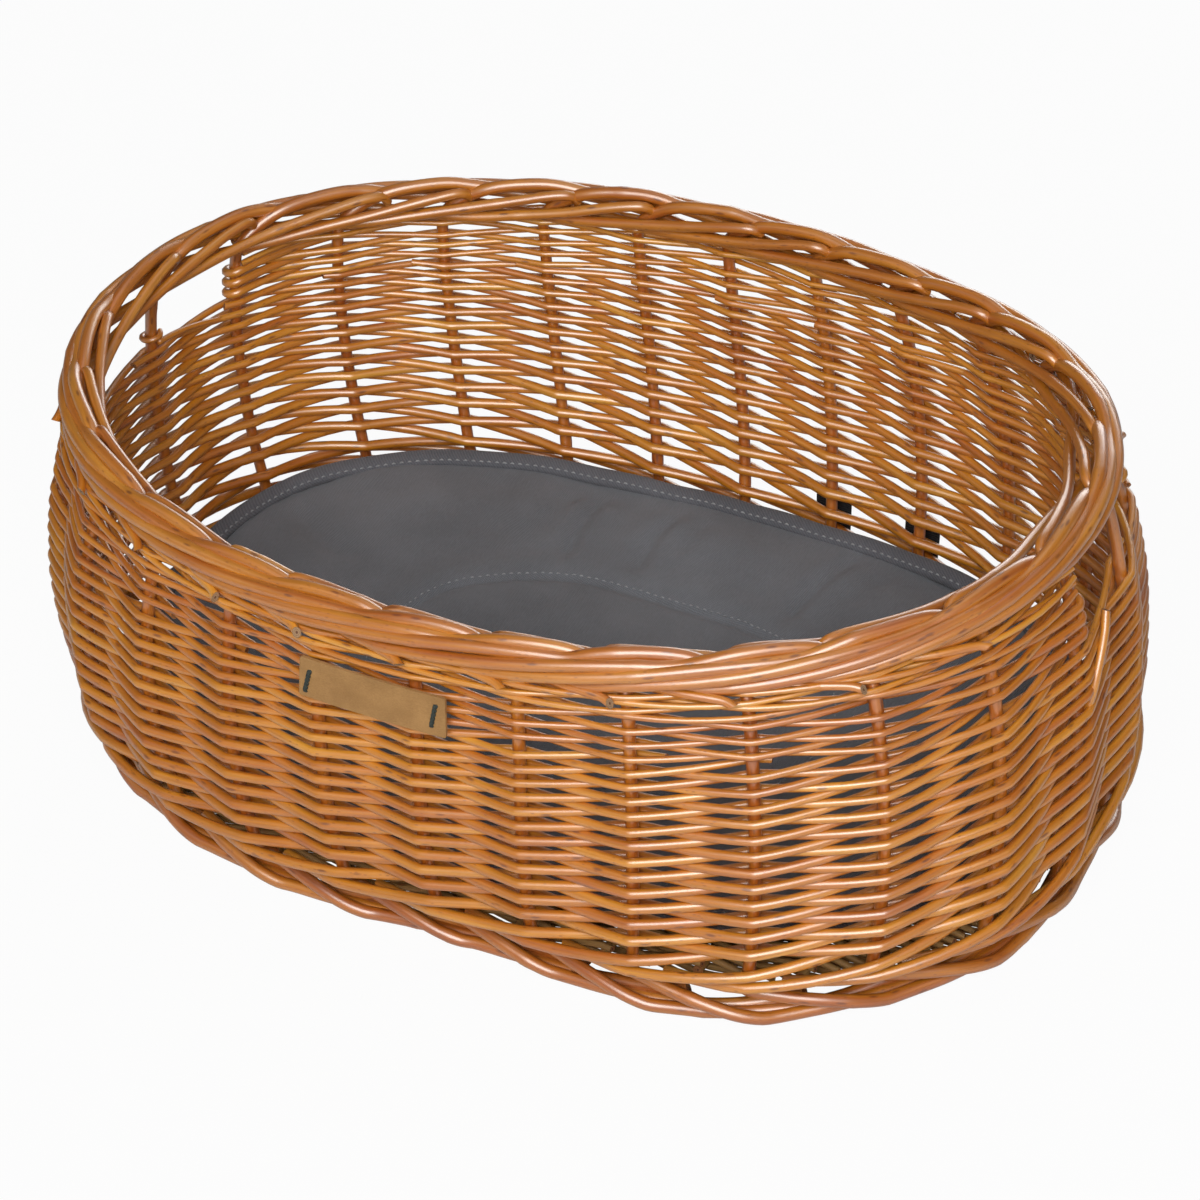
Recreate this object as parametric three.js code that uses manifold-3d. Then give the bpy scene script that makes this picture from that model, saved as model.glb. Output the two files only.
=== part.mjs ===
// Oval wicker basket for a bicycle carrier, with a loose dished cushion inside.
// Lengths are in millimetres and angles in degrees. +Z is up, +X runs along the basket.
// The origin is on the ground, under the middle of the basket.
import * as THREE from "three";
import Module from "manifold-3d";
import { mergeVertices } from "three/addons/utils/BufferGeometryUtils.js";

const wasm = await Module();
wasm.setup();

// Plan of the wall at three levels: half length, half width, and squareness of the oval
const FOOT_HALF_LENGTH = 262;
const FOOT_HALF_WIDTH = 170;
const FOOT_SQUARENESS = 2.9;
const BELLY_HALF_LENGTH = 277;
const BELLY_HALF_WIDTH = 187.5;
const BELLY_SQUARENESS = 2.55;
const RIM_HALF_LENGTH = 258;
const RIM_HALF_WIDTH = 188;
const RIM_SQUARENESS = 2.16;
const RIM_HEIGHT = 202;
const RIM_END_RISE = 7.6;

// Uprights and the rods woven round them. The phase and the lean are in spaces between stakes, and
// the spread is how far the spaces widen at the ends, as a share of the way round.
const STAKE_COUNT = 26;
const STAKE_DIAMETER = 6.4;
const STAKE_PHASE = -0.41;
const STAKE_LEAN = 0.21;
const STAKE_SPREAD = 0.007;
const WEAVER_BUTT_DIAMETER = 5.1;
const WEAVER_TIP_DIAMETER = 3.1;
const WALE_DIAMETER = 5.6;
const ROD_CLEARANCE = 0.4;
const ROW_GAP = 0.5;
const WALE_ROWS = 3;
const ROWS_PER_COURSE = 2;
const SEAM_STAKE = 9;
const HANDLE_HOLE_HEIGHT = 34;
const RIGHT_HANDLE_STAKE = 1;
const LEFT_HANDLE_STAKE = 13;

// Laid borders at the rim and the foot
const RIM_ROD_DIAMETER = 7.4;
const RIM_ROD_SPACES = 4;
const FOOT_ROD_DIAMETER = 7.2;
const FOOT_ROD_SPACES = 3;
const RIM_TURN = 270;
const FOOT_TURN = -270;
const BORDER_ROD_GAP = 0.5;
const FOOT_FLAT_DEPTH = 0.5;

// Base
const BASE_THICKNESS = 2.6;
const BASE_STICK_DIAMETER = 5;
const BASE_STICK_COUNT = 9;
const BASE_STICK_SPACING = 46;
const BASE_LONG_STICK_COUNT = 3;
const BASE_LONG_STICK_SPACING = 30;
const BASE_EDGE_MARGIN = 1.4;

// Cushion
const CUSHION_HALF_LENGTH = 237;
const CUSHION_HALF_WIDTH = 158;
const CUSHION_SQUARENESS = 2.3;
const CUSHION_RIM_RISE = 15;
const CUSHION_THICKNESS = 9;
const CUSHION_CROWN = 4;
const CENTRE_PANEL_HALF_LENGTH = 150;
const CENTRE_PANEL_HALF_WIDTH = 98;
const SEAM_DEPTH = 3.5;
const SEAM_WIDTH = 5;
const BINDING_DIAMETER = 6;
const CUSHION_CLEARANCE = 0.5;

// Tag and webbing tabs
const TAG_WIDTH = 78;
const TAG_HEIGHT = 22;
const TAG_THICKNESS = 1.6;
const TAG_BELOW_RIM = 36;
const TAG_CENTRE_X = -3.5;
const TAB_WIDTH = 20;
const TAB_HEIGHT = 24;
const TAB_THICKNESS = 2;
const TAB_ABOVE_BASE = 7;
const TAB_PLACES = [5.09, 6.08];

// Fineness of the facets
const WEAVER_SIDES = 4;
const STAKE_SIDES = 5;
const STAKE_STEPS = 8;
const BORDER_STEPS_PER_SPACE = 2;
const PLAN_STEPS = 1440;
const OVAL_STEPS = 52;

const UP = new THREE.Vector3(0, 0, 1);
const radians = THREE.MathUtils.degToRad;

const COLOURS = {
  willow: { color: 0xd08a3a, roughness: 0.38, metalness: 0 },
  stake: { color: 0xa4520f, roughness: 0.42, metalness: 0 },
  border: { color: 0xc0742a, roughness: 0.38, metalness: 0 },
  foot: { color: 0x8a4a22, roughness: 0.42, metalness: 0 },
  base: { color: 0xc9a873, roughness: 0.6, metalness: 0 },
  fabric: { color: 0x5c5d60, roughness: 0.95, metalness: 0 },
  tag: { color: 0xb07a45, roughness: 0.7, metalness: 0 },
  webbing: { color: 0x16171a, roughness: 0.85, metalness: 0 },
};

// Plan ovals

// Point of an oval whose corners grow squarer as the exponent rises above 2
function ovalPoint(halfLength, halfWidth, squareness, turn) {
  const power = 2 / squareness;
  const c = Math.cos(turn);
  const s = Math.sin(turn);
  return new THREE.Vector2(
    halfLength * Math.sign(c) * Math.abs(c) ** power,
    halfWidth * Math.sign(s) * Math.abs(s) ** power,
  );
}

// Length round an oval up to each of its steps
function ovalLengths(halfLength, halfWidth, squareness) {
  const lengths = [0];
  let before = ovalPoint(halfLength, halfWidth, squareness, 0);
  for (let step = 1; step <= PLAN_STEPS; step += 1) {
    const turn = (2 * Math.PI * step) / PLAN_STEPS;
    const here = ovalPoint(halfLength, halfWidth, squareness, turn);
    lengths.push(lengths[step - 1] + here.distanceTo(before));
    before = here;
  }
  return lengths;
}

const FOOT_LENGTHS = ovalLengths(FOOT_HALF_LENGTH, FOOT_HALF_WIDTH, FOOT_SQUARENESS);
const BELLY_LENGTHS = ovalLengths(BELLY_HALF_LENGTH, BELLY_HALF_WIDTH, BELLY_SQUARENESS);
const RIM_LENGTHS = ovalLengths(RIM_HALF_LENGTH, RIM_HALF_WIDTH, RIM_SQUARENESS);

// Turn of an oval at a share of its length
function turnAt(share, lengths) {
  const wrapped = ((share % 1) + 1) % 1;
  const target = wrapped * lengths[PLAN_STEPS];
  let step = Math.floor(wrapped * PLAN_STEPS);
  while (lengths[step] > target) step -= 1;
  while (lengths[step + 1] < target) step += 1;
  const part = (target - lengths[step]) / (lengths[step + 1] - lengths[step]);
  return (2 * Math.PI * (step + part)) / PLAN_STEPS;
}

// Value at a level between the foot (0) and the rim (1), through the belly half way up
function blend(level, foot, belly, rim) {
  return foot * (1 - level) * (1 - 2 * level) + belly * 4 * level * (1 - level) + rim * level * (2 * level - 1);
}

// Point on the middle of the wall with its directions outward and along the wall
function wallFrame(share, height, outward = 0) {
  const level = height / RIM_HEIGHT;
  const halfLength = blend(level, FOOT_HALF_LENGTH, BELLY_HALF_LENGTH, RIM_HALF_LENGTH);
  const halfWidth = blend(level, FOOT_HALF_WIDTH, BELLY_HALF_WIDTH, RIM_HALF_WIDTH);
  const squareness = blend(level, FOOT_SQUARENESS, BELLY_SQUARENESS, RIM_SQUARENESS);
  const turns = [FOOT_LENGTHS, BELLY_LENGTHS, RIM_LENGTHS].map((lengths) => turnAt(share, lengths));
  const plan = ovalPoint(halfLength, halfWidth, squareness, blend(level, ...turns));
  const shareOfLength = plan.x / halfLength;
  const shareOfWidth = plan.y / halfWidth;
  const normal = new THREE.Vector3(
    (Math.sign(plan.x) * Math.abs(shareOfLength) ** (squareness - 1)) / halfLength,
    (Math.sign(plan.y) * Math.abs(shareOfWidth) ** (squareness - 1)) / halfWidth,
    0,
  ).normalize();
  const rise = RIM_END_RISE * (shareOfLength * level) ** 2;
  const point = new THREE.Vector3(plan.x, plan.y, height + rise).addScaledVector(normal, outward);
  return { point, outward: normal, along: new THREE.Vector3().crossVectors(UP, normal) };
}

// The same on a stake, or between two of them. The stakes lean a little the way they are woven.
function stakeFrame(stake, height, outward = 0) {
  const even = (stake + STAKE_PHASE) / STAKE_COUNT;
  const lean = (STAKE_LEAN * height) / RIM_HEIGHT / STAKE_COUNT;
  return wallFrame(even + lean + STAKE_SPREAD * Math.sin(4 * Math.PI * even), height, outward);
}

// Rods

// Circumradius of a polygon with the same area as a rod's round section
function sectionRadius(diameter, sides) {
  const wedge = (2 * Math.PI) / sides;
  return (diameter / 2) * Math.sqrt(wedge / Math.sin(wedge));
}

// Half the width of such a polygon across its flats
function sectionHalf(diameter, sides) {
  return sectionRadius(diameter, sides) * Math.cos(Math.PI / sides);
}

// Bent rod through points. Its section halves each bend, and guide(i) is a direction
// across the rod that keeps the section from twisting.
function rodGeometry(points, radiusAt, sides, closed, guide = () => UP) {
  const count = points.length;
  const positions = [];
  const faces = [];
  for (let i = 0; i < count; i += 1) {
    const before = points[closed ? (i + count - 1) % count : Math.max(i - 1, 0)];
    const after = points[closed ? (i + 1) % count : Math.min(i + 1, count - 1)];
    const tangent = new THREE.Vector3().subVectors(after, before).normalize();
    const right = new THREE.Vector3().crossVectors(tangent, guide(i)).normalize();
    const above = new THREE.Vector3().crossVectors(right, tangent);
    for (let side = 0; side < sides; side += 1) {
      const angle = (2 * Math.PI * (side + 0.5)) / sides;
      const corner = points[i].clone();
      corner.addScaledVector(right, radiusAt(i) * Math.cos(angle));
      corner.addScaledVector(above, radiusAt(i) * Math.sin(angle));
      positions.push(corner.x, corner.y, corner.z);
    }
  }
  const spans = closed ? count : count - 1;
  for (let i = 0; i < spans; i += 1) {
    for (let side = 0; side < sides; side += 1) {
      const a = i * sides + side;
      const b = i * sides + ((side + 1) % sides);
      const c = ((i + 1) % count) * sides + ((side + 1) % sides);
      const d = ((i + 1) % count) * sides + side;
      faces.push(a, c, b, a, d, c);
    }
  }
  if (!closed) {
    const end = (count - 1) * sides;
    for (let side = 1; side < sides - 1; side += 1) {
      faces.push(0, side, side + 1);
      faces.push(end, end + side + 1, end + side);
    }
  }
  const geometry = new THREE.BufferGeometry();
  geometry.setAttribute("position", new THREE.Float32BufferAttribute(positions, 3));
  geometry.setIndex(faces);
  return geometry;
}

// Heights of the rows, from the foot border up

// Radius on which rods lie side by side round a border, each a share of the turn behind the next
function layRadius(diameter, turn, spaces) {
  return (diameter + BORDER_ROD_GAP) / 2 / Math.sin(radians(Math.abs(turn) / spaces / 2));
}

const FOOT_LAY_RADIUS = layRadius(FOOT_ROD_DIAMETER, FOOT_TURN, FOOT_ROD_SPACES);
const FOOT_ROD_UNDERSIDE = (FOOT_ROD_DIAMETER / 2) * Math.cos(Math.PI / STAKE_SIDES);
const FOOT_CENTRE_HEIGHT = FOOT_LAY_RADIUS + FOOT_ROD_UNDERSIDE - FOOT_FLAT_DEPTH;
const FOOT_TOP = FOOT_CENTRE_HEIGHT + FOOT_LAY_RADIUS + FOOT_ROD_DIAMETER / 2;
const RIM_LAY_RADIUS = layRadius(RIM_ROD_DIAMETER, RIM_TURN, RIM_ROD_SPACES);
const RIM_UNDERSIDE = RIM_HEIGHT - RIM_LAY_RADIUS - RIM_ROD_DIAMETER / 2;
const BASE_STICK_TOP = FOOT_TOP + ROD_CLEARANCE + BASE_STICK_DIAMETER;
const BASE_TOP = BASE_STICK_TOP + ROD_CLEARANCE + BASE_THICKNESS;

// Rows from the base to the rim border: the wale, then rods that thin towards their tips, so that
// the rows grow finer upward. The room left over is shared out between them.
function wallRows() {
  const bottom = BASE_TOP + ROD_CLEARANCE;
  const top = RIM_UNDERSIDE - ROD_CLEARANCE;
  const taper = (height) => THREE.MathUtils.mapLinear(
    height, bottom, top, WEAVER_BUTT_DIAMETER, WEAVER_TIP_DIAMETER,
  );
  const rows = [];
  let height = bottom;
  let diameter = WALE_DIAMETER;
  while (height + diameter < top) {
    rows.push({ index: rows.length, height: height + diameter / 2, diameter });
    height += diameter + ROW_GAP;
    diameter = rows.length < WALE_ROWS ? WALE_DIAMETER : taper(height);
  }
  const spare = top - (height - ROW_GAP);
  return rows.map((row, i) => ({ ...row, height: row.height + (spare * i) / (rows.length - 1) }));
}

const WALL_ROWS = wallRows();
const HOLE_BOTTOM = RIM_UNDERSIDE - HANDLE_HOLE_HEIGHT;
const COURSE_ROWS = WALL_ROWS.slice(WALE_ROWS).filter((row) => row.height < HOLE_BOTTOM);
const HANDLE_ROWS = WALL_ROWS.filter((row) => row.height >= HOLE_BOTTOM);

// Woven rows

const STAKE_RADIUS = sectionRadius(STAKE_DIAMETER, STAKE_SIDES);

// Slope of the wall at a stake: how far it moves outward in a millimetre of height
function wallSlope(stake, height) {
  const below = stakeFrame(stake, height - 0.5);
  const above = stakeFrame(stake, height + 0.5).point;
  return above.sub(below.point).dot(below.outward);
}

// Distance from the stake's axis to a rod that lies against it. The stake leans with the wall, the
// rod leans towards its next crossings, and where the wall turns its section stands askew as well.
function seatOffset(stake, height, side, diameter) {
  const half = sectionHalf(diameter, WEAVER_SIDES);
  const slope = Math.abs(wallSlope(stake, height));
  const seat = (STAKE_RADIUS + ROD_CLEARANCE) * Math.hypot(1, slope) + half * (1 + slope);
  const here = stakeFrame(stake, height, side * seat);
  const leans = [-1, 1].map((step) => {
    const next = stakeFrame(stake + step, height, -side * seat).point;
    return Math.asin(-side * next.sub(here.point).normalize().dot(here.outward));
  });
  const lean = Math.max(...leans);
  const skew = Math.abs(leans[0] - leans[1]) / 2;
  return (seat + half * Math.sin(skew)) / Math.cos(lean);
}

// Side of a stake that a row passes: 1 outside the wall, -1 inside it
function sideOf(stake, row) {
  return (((stake + row) % 2) + 2) % 2 === 0 ? 1 : -1;
}

function crossing(stake, row) {
  const side = sideOf(stake, row.index);
  const seat = seatOffset(stake, row.height, side, row.diameter);
  return stakeFrame(stake, row.height, side * seat).point;
}

// Rod woven round the wall once for each row, in front of one stake and behind the next. Where a
// new round starts it steps up a row and passes two stakes on the same side, so the rows alternate.
function wovenRod(rows) {
  const rowAt = (i) => rows[Math.floor(i / STAKE_COUNT)];
  const points = [];
  for (let i = 0; i < rows.length * STAKE_COUNT; i += 1) {
    points.push(crossing(SEAM_STAKE + (i % STAKE_COUNT), rowAt(i)));
  }
  return rodGeometry(points, (i) => sectionRadius(rowAt(i).diameter, WEAVER_SIDES), WEAVER_SIDES, false);
}

// Points of a turn back round the last stake of a row, square to it, up to the next row's side
function turnPoints(stake, row, next, direction) {
  const side = sideOf(stake, row.index);
  const seat = seatOffset(stake, row.height, side, row.diameter);
  const corners = [[side, 0, 0], [side, 1, 0.2], [-side, 1, 0.8], [-side, 0, 1]];
  return corners.map(([out, past, climb]) => {
    const height = THREE.MathUtils.lerp(row.height, next.height, climb);
    const frame = stakeFrame(stake, height, out * seat);
    return frame.point.addScaledVector(frame.along, direction * past * seat);
  });
}

// One rod woven forth and back between two stakes, round each of them in turn
function packing(firstStake, lastStake) {
  const points = [];
  const radii = [];
  HANDLE_ROWS.forEach((row, i) => {
    const forth = i % 2 === 0;
    const start = forth ? firstStake : lastStake;
    const end = forth ? lastStake : firstStake;
    const step = forth ? 1 : -1;
    for (let stake = i === 0 ? start : start + step; stake !== end; stake += step) {
      points.push(crossing(stake, row));
    }
    const next = HANDLE_ROWS[i + 1];
    points.push(...(next ? turnPoints(end, row, next, step) : [crossing(end, row)]));
    while (radii.length < points.length) {
      radii.push(sectionRadius(row.diameter, WEAVER_SIDES));
    }
  });
  return rodGeometry(points, (i) => radii[i], WEAVER_SIDES, false);
}

// Stakes

// Frames along a laid rod, from its stake on: it turns about the middle of the border
// while it runs along it
function laidFrames(stake, height, radius, spaces, startTurn, turn) {
  const steps = spaces * BORDER_STEPS_PER_SPACE;
  const frames = [];
  for (let step = 0; step <= steps; step += 1) {
    const angle = radians(startTurn + (turn * step) / steps);
    const place = stake + step / BORDER_STEPS_PER_SPACE;
    const frame = stakeFrame(place, height, radius * Math.cos(angle));
    frame.point.z += radius * Math.sin(angle);
    frames.push(frame);
  }
  return frames;
}

// One rod for each stake: it is laid into the rim border, stands down through the wall, and lies
// in the foot border, with a flat of its section below. It is cut flat where the basket rests.
function stakeGeometry(stake) {
  const foot = laidFrames(stake, FOOT_CENTRE_HEIGHT, FOOT_LAY_RADIUS, FOOT_ROD_SPACES, 90, FOOT_TURN);
  const rim = laidFrames(stake, RIM_HEIGHT, RIM_LAY_RADIUS, RIM_ROD_SPACES, -90, RIM_TURN);
  const upright = [];
  for (let step = 0; step <= STAKE_STEPS; step += 1) {
    const height = THREE.MathUtils.lerp(FOOT_TOP, RIM_UNDERSIDE, step / STAKE_STEPS);
    upright.push(stakeFrame(stake, height));
  }
  const frames = [...rim.reverse(), ...upright.reverse(), ...foot];
  const radiusAt = (i) => {
    if (i < rim.length) return RIM_ROD_DIAMETER / 2;
    return i < rim.length + upright.length ? STAKE_RADIUS : FOOT_ROD_DIAMETER / 2;
  };
  const points = frames.map((frame) => frame.point);
  return cutFlat(rodGeometry(points, radiusAt, STAKE_SIDES, false, (i) => frames[i].outward));
}

// Cuts a rod flat where the basket stands on it
function cutFlat(geometry) {
  const box = new THREE.BoxGeometry(4 * BELLY_HALF_LENGTH, 4 * BELLY_HALF_WIDTH, 2 * RIM_HEIGHT);
  box.translate(0, 0, RIM_HEIGHT);
  return fromManifold(toManifold(geometry).intersect(toManifold(box)));
}

function toManifold(geometry) {
  const bare = geometry.clone();
  bare.deleteAttribute("normal");
  bare.deleteAttribute("uv");
  const merged = mergeVertices(bare);
  return new wasm.Manifold(new wasm.Mesh({
    numProp: 3,
    vertProperties: new Float32Array(merged.attributes.position.array),
    triVerts: new Uint32Array(merged.index.array),
  }));
}

function fromManifold(solid) {
  const mesh = solid.getMesh();
  const geometry = new THREE.BufferGeometry();
  geometry.setAttribute("position", new THREE.Float32BufferAttribute(mesh.vertProperties, 3));
  geometry.setIndex(Array.from(mesh.triVerts));
  return geometry;
}

// Base

// Oval inside the wall at a height, drawn in by a margin
function innerOval(height, margin) {
  const points = [];
  for (let step = 0; step < OVAL_STEPS; step += 1) {
    const frame = wallFrame(step / OVAL_STEPS, height, -margin);
    points.push(new THREE.Vector2(frame.point.x, frame.point.y));
  }
  return points;
}

function basePanel() {
  const margin = STAKE_RADIUS + ROD_CLEARANCE;
  const shape = new THREE.Shape(innerOval(BASE_TOP - BASE_THICKNESS, margin));
  const geometry = new THREE.ExtrudeGeometry(shape, { depth: BASE_THICKNESS, bevelEnabled: false });
  geometry.translate(0, 0, BASE_TOP - BASE_THICKNESS);
  return geometry;
}

// Sticks under the base, the long ones let through the cross ones. They end at the uprights.
function baseSticks() {
  const height = BASE_STICK_TOP - BASE_STICK_DIAMETER / 2;
  const stickRadius = sectionRadius(BASE_STICK_DIAMETER, WEAVER_SIDES);
  const level = height / RIM_HEIGHT;
  const inset = STAKE_RADIUS + BASE_EDGE_MARGIN;
  const halfLength = blend(level, FOOT_HALF_LENGTH, BELLY_HALF_LENGTH, RIM_HALF_LENGTH) - inset;
  const halfWidth = blend(level, FOOT_HALF_WIDTH, BELLY_HALF_WIDTH, RIM_HALF_WIDTH) - inset;
  const squareness = blend(level, FOOT_SQUARENESS, BELLY_SQUARENESS, RIM_SQUARENESS);
  const reach = (across, half, otherHalf) => (
    half * (1 - Math.abs(across / otherHalf) ** squareness) ** (1 / squareness)
  );
  const stick = (start, end) => toManifold(
    rodGeometry([start, end], () => stickRadius, WEAVER_SIDES, false),
  );
  let sticks = null;
  for (let i = 0; i < BASE_STICK_COUNT; i += 1) {
    const x = (i - (BASE_STICK_COUNT - 1) / 2) * BASE_STICK_SPACING;
    const y = reach(x, halfWidth, halfLength);
    const cross = stick(new THREE.Vector3(x, -y, height), new THREE.Vector3(x, y, height));
    sticks = sticks ? sticks.add(cross) : cross;
  }
  for (let i = 0; i < BASE_LONG_STICK_COUNT; i += 1) {
    const y = (i - (BASE_LONG_STICK_COUNT - 1) / 2) * BASE_LONG_STICK_SPACING;
    const x = reach(y, halfLength, halfWidth);
    sticks = sticks.add(stick(new THREE.Vector3(-x, y, height), new THREE.Vector3(x, y, height)));
  }
  return fromManifold(sticks);
}

// Cushion

const CUSHION_BOTTOM = BASE_TOP + CUSHION_CLEARANCE;
const CUSHION_EDGE_HEIGHT = CUSHION_BOTTOM + CUSHION_RIM_RISE;

// Closed body through ovals that share a centre. Each ring is [half length, half width, height],
// and the first and last close on the centre line.
function ovalLoft(rings, squareness) {
  const positions = [];
  const faces = [];
  for (const [halfLength, halfWidth, height] of rings) {
    for (let step = 0; step < OVAL_STEPS; step += 1) {
      const turn = turnAt(step / OVAL_STEPS, FOOT_LENGTHS);
      const plan = ovalPoint(halfLength, halfWidth, squareness, turn);
      positions.push(plan.x, plan.y, height);
    }
  }
  for (let ring = 0; ring < rings.length - 1; ring += 1) {
    for (let step = 0; step < OVAL_STEPS; step += 1) {
      const a = ring * OVAL_STEPS + step;
      const b = ring * OVAL_STEPS + ((step + 1) % OVAL_STEPS);
      faces.push(a, b, b + OVAL_STEPS, a, b + OVAL_STEPS, a + OVAL_STEPS);
    }
  }
  const first = positions.length / 3;
  positions.push(0, 0, rings[0][2], 0, 0, rings[rings.length - 1][2]);
  const top = (rings.length - 1) * OVAL_STEPS;
  for (let step = 0; step < OVAL_STEPS; step += 1) {
    const next = (step + 1) % OVAL_STEPS;
    faces.push(first, next, step);
    faces.push(first + 1, top + step, top + next);
  }
  const geometry = new THREE.BufferGeometry();
  geometry.setAttribute("position", new THREE.Float32BufferAttribute(positions, 3));
  geometry.setIndex(faces);
  return geometry;
}

// Dished pad: a crowned centre panel, a sewn seam round it, and a padded side that climbs to the edge
function cushionPad() {
  const edgeLength = CUSHION_HALF_LENGTH - BINDING_DIAMETER / 2;
  const edgeWidth = CUSHION_HALF_WIDTH - BINDING_DIAMETER / 2;
  const seamLength = CENTRE_PANEL_HALF_LENGTH;
  const seamWidth = CENTRE_PANEL_HALF_WIDTH;
  const panelTop = CUSHION_BOTTOM + CUSHION_THICKNESS;
  const seamBottom = panelTop - SEAM_DEPTH;
  const edgeTop = CUSHION_EDGE_HEIGHT - BINDING_DIAMETER / 2 - ROD_CLEARANCE;
  const side = (share, bulge) => [
    THREE.MathUtils.lerp(seamLength, edgeLength, share),
    THREE.MathUtils.lerp(seamWidth, edgeWidth, share),
    THREE.MathUtils.lerp(panelTop, edgeTop, share) + bulge,
  ];
  const rings = [
    [seamLength, seamWidth, CUSHION_BOTTOM],
    [edgeLength - CUSHION_RIM_RISE, edgeWidth - CUSHION_RIM_RISE, CUSHION_BOTTOM],
    [edgeLength - SEAM_WIDTH, edgeWidth - SEAM_WIDTH, CUSHION_BOTTOM + SEAM_WIDTH],
    [edgeLength, edgeWidth, edgeTop - SEAM_DEPTH],
    [edgeLength, edgeWidth, edgeTop],
    side(0.92, -1),
    side(0.7, 0),
    side(0.35, 1),
    side(0.1, 0.5),
    [seamLength, seamWidth, seamBottom],
    [seamLength - SEAM_WIDTH, seamWidth - SEAM_WIDTH, panelTop - 0.5],
    [seamLength * 0.75, seamWidth * 0.75, panelTop + CUSHION_CROWN * 0.6],
    [seamLength * 0.4, seamWidth * 0.4, panelTop + CUSHION_CROWN],
  ];
  return ovalLoft(rings, CUSHION_SQUARENESS);
}

// Binding sewn round the cushion's edge
function cushionBinding() {
  const points = [];
  const halfLength = CUSHION_HALF_LENGTH - BINDING_DIAMETER / 2;
  const halfWidth = CUSHION_HALF_WIDTH - BINDING_DIAMETER / 2;
  for (let step = 0; step < OVAL_STEPS; step += 1) {
    const turn = turnAt(step / OVAL_STEPS, FOOT_LENGTHS);
    const plan = ovalPoint(halfLength, halfWidth, CUSHION_SQUARENESS, turn);
    points.push(new THREE.Vector3(plan.x, plan.y, CUSHION_EDGE_HEIGHT));
  }
  return rodGeometry(points, () => BINDING_DIAMETER / 2, WEAVER_SIDES + 1, true);
}

// Tag and tabs

// How far woven rods reach outside the wall's middle, within half a width of a place on it:
// furthest at a stake, and less with the distance from it, where they pass to the inside
function wovenReach(place, height, halfWidth, diameter) {
  const stake = Math.round(place);
  const distance = Math.max(0, Math.abs(place - stake) - halfWidth);
  const seat = seatOffset(stake, height, 1, diameter);
  return seat * (1 - 2 * distance) + sectionHalf(diameter, WEAVER_SIDES);
}

// Thin plate that lies against the outside of the woven rods. Its place is counted in stakes.
function wallPlate(place, centreHeight, width, height, thickness) {
  const behind = WALL_ROWS.filter((row) => Math.abs(row.height - centreHeight) < height / 2);
  const rodDiameter = Math.max(...behind.map((row) => row.diameter));
  const spaceEnds = [-0.5, 0.5].map((step) => stakeFrame(place + step, centreHeight).point);
  const halfWidth = width / 2 / spaceEnds[0].distanceTo(spaceEnds[1]);
  const outside = wovenReach(place, centreHeight, halfWidth, rodDiameter) + ROD_CLEARANCE;
  const steps = 4;
  const positions = [];
  const faces = [];
  for (let step = 0; step <= steps; step += 1) {
    const across = place + halfWidth * ((2 * step) / steps - 1);
    for (const [out, up] of [[0, -0.5], [0, 0.5], [thickness, 0.5], [thickness, -0.5]]) {
      const frame = stakeFrame(across, centreHeight + up * height, outside + ROD_CLEARANCE + out);
      positions.push(frame.point.x, frame.point.y, frame.point.z);
    }
  }
  for (let step = 0; step < steps; step += 1) {
    for (let side = 0; side < 4; side += 1) {
      const a = step * 4 + side;
      const b = step * 4 + ((side + 1) % 4);
      faces.push(a, b, b + 4, a, b + 4, a + 4);
    }
  }
  const end = steps * 4;
  faces.push(0, 3, 2, 0, 2, 1, end, end + 1, end + 2, end, end + 2, end + 3);
  const geometry = new THREE.BufferGeometry();
  geometry.setAttribute("position", new THREE.Float32BufferAttribute(positions, 3));
  geometry.setIndex(faces);
  return geometry;
}

// Place on the front side, counted in stakes, of the point with a given x
function frontPlaceAt(x, height) {
  let low = LEFT_HANDLE_STAKE + 1;
  let high = STAKE_COUNT;
  while (high - low > 1e-4) {
    const middle = (low + high) / 2;
    if (stakeFrame(middle, height).point.x < x) {
      low = middle;
    } else {
      high = middle;
    }
  }
  return low;
}

// Assembly

const basket = new THREE.Group();
const cushion = new THREE.Group();
const model = new THREE.Group();
model.add(basket, cushion);

function add(group, name, geometry, look) {
  const mesh = new THREE.Mesh(geometry, new THREE.MeshStandardMaterial(COLOURS[look]));
  mesh.name = name;
  group.add(mesh);
}

const twoDigits = (number) => String(number).padStart(2, "0");

for (let stake = 0; stake < STAKE_COUNT; stake += 1) {
  add(basket, `stake_${twoDigits(stake + 1)}`, stakeGeometry(stake), "stake");
}

add(basket, "wale", wovenRod(WALL_ROWS.slice(0, WALE_ROWS)), "willow");

for (let first = 0; first < COURSE_ROWS.length; first += ROWS_PER_COURSE) {
  const course = 1 + first / ROWS_PER_COURSE;
  const rows = COURSE_ROWS.slice(first, first + ROWS_PER_COURSE);
  add(basket, `course_${twoDigits(course)}`, wovenRod(rows), "willow");
}

const frontPacking = packing(LEFT_HANDLE_STAKE + 1, RIGHT_HANDLE_STAKE - 1 + STAKE_COUNT);
add(basket, "packing_front", frontPacking, "willow");
add(basket, "packing_back", packing(RIGHT_HANDLE_STAKE + 1, LEFT_HANDLE_STAKE - 1), "willow");

add(basket, "base_panel", basePanel(), "base");
add(basket, "base_sticks", baseSticks(), "stake");

const tagHeight = RIM_HEIGHT - TAG_BELOW_RIM;
const tagPlace = frontPlaceAt(TAG_CENTRE_X, tagHeight);
add(basket, "tag", wallPlate(tagPlace, tagHeight, TAG_WIDTH, TAG_HEIGHT, TAG_THICKNESS), "tag");

TAB_PLACES.forEach((place, i) => {
  const height = BASE_TOP + TAB_ABOVE_BASE;
  const plate = wallPlate(place, height, TAB_WIDTH, TAB_HEIGHT, TAB_THICKNESS);
  add(basket, `webbing_tab_${i + 1}`, plate, "webbing");
});

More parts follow.
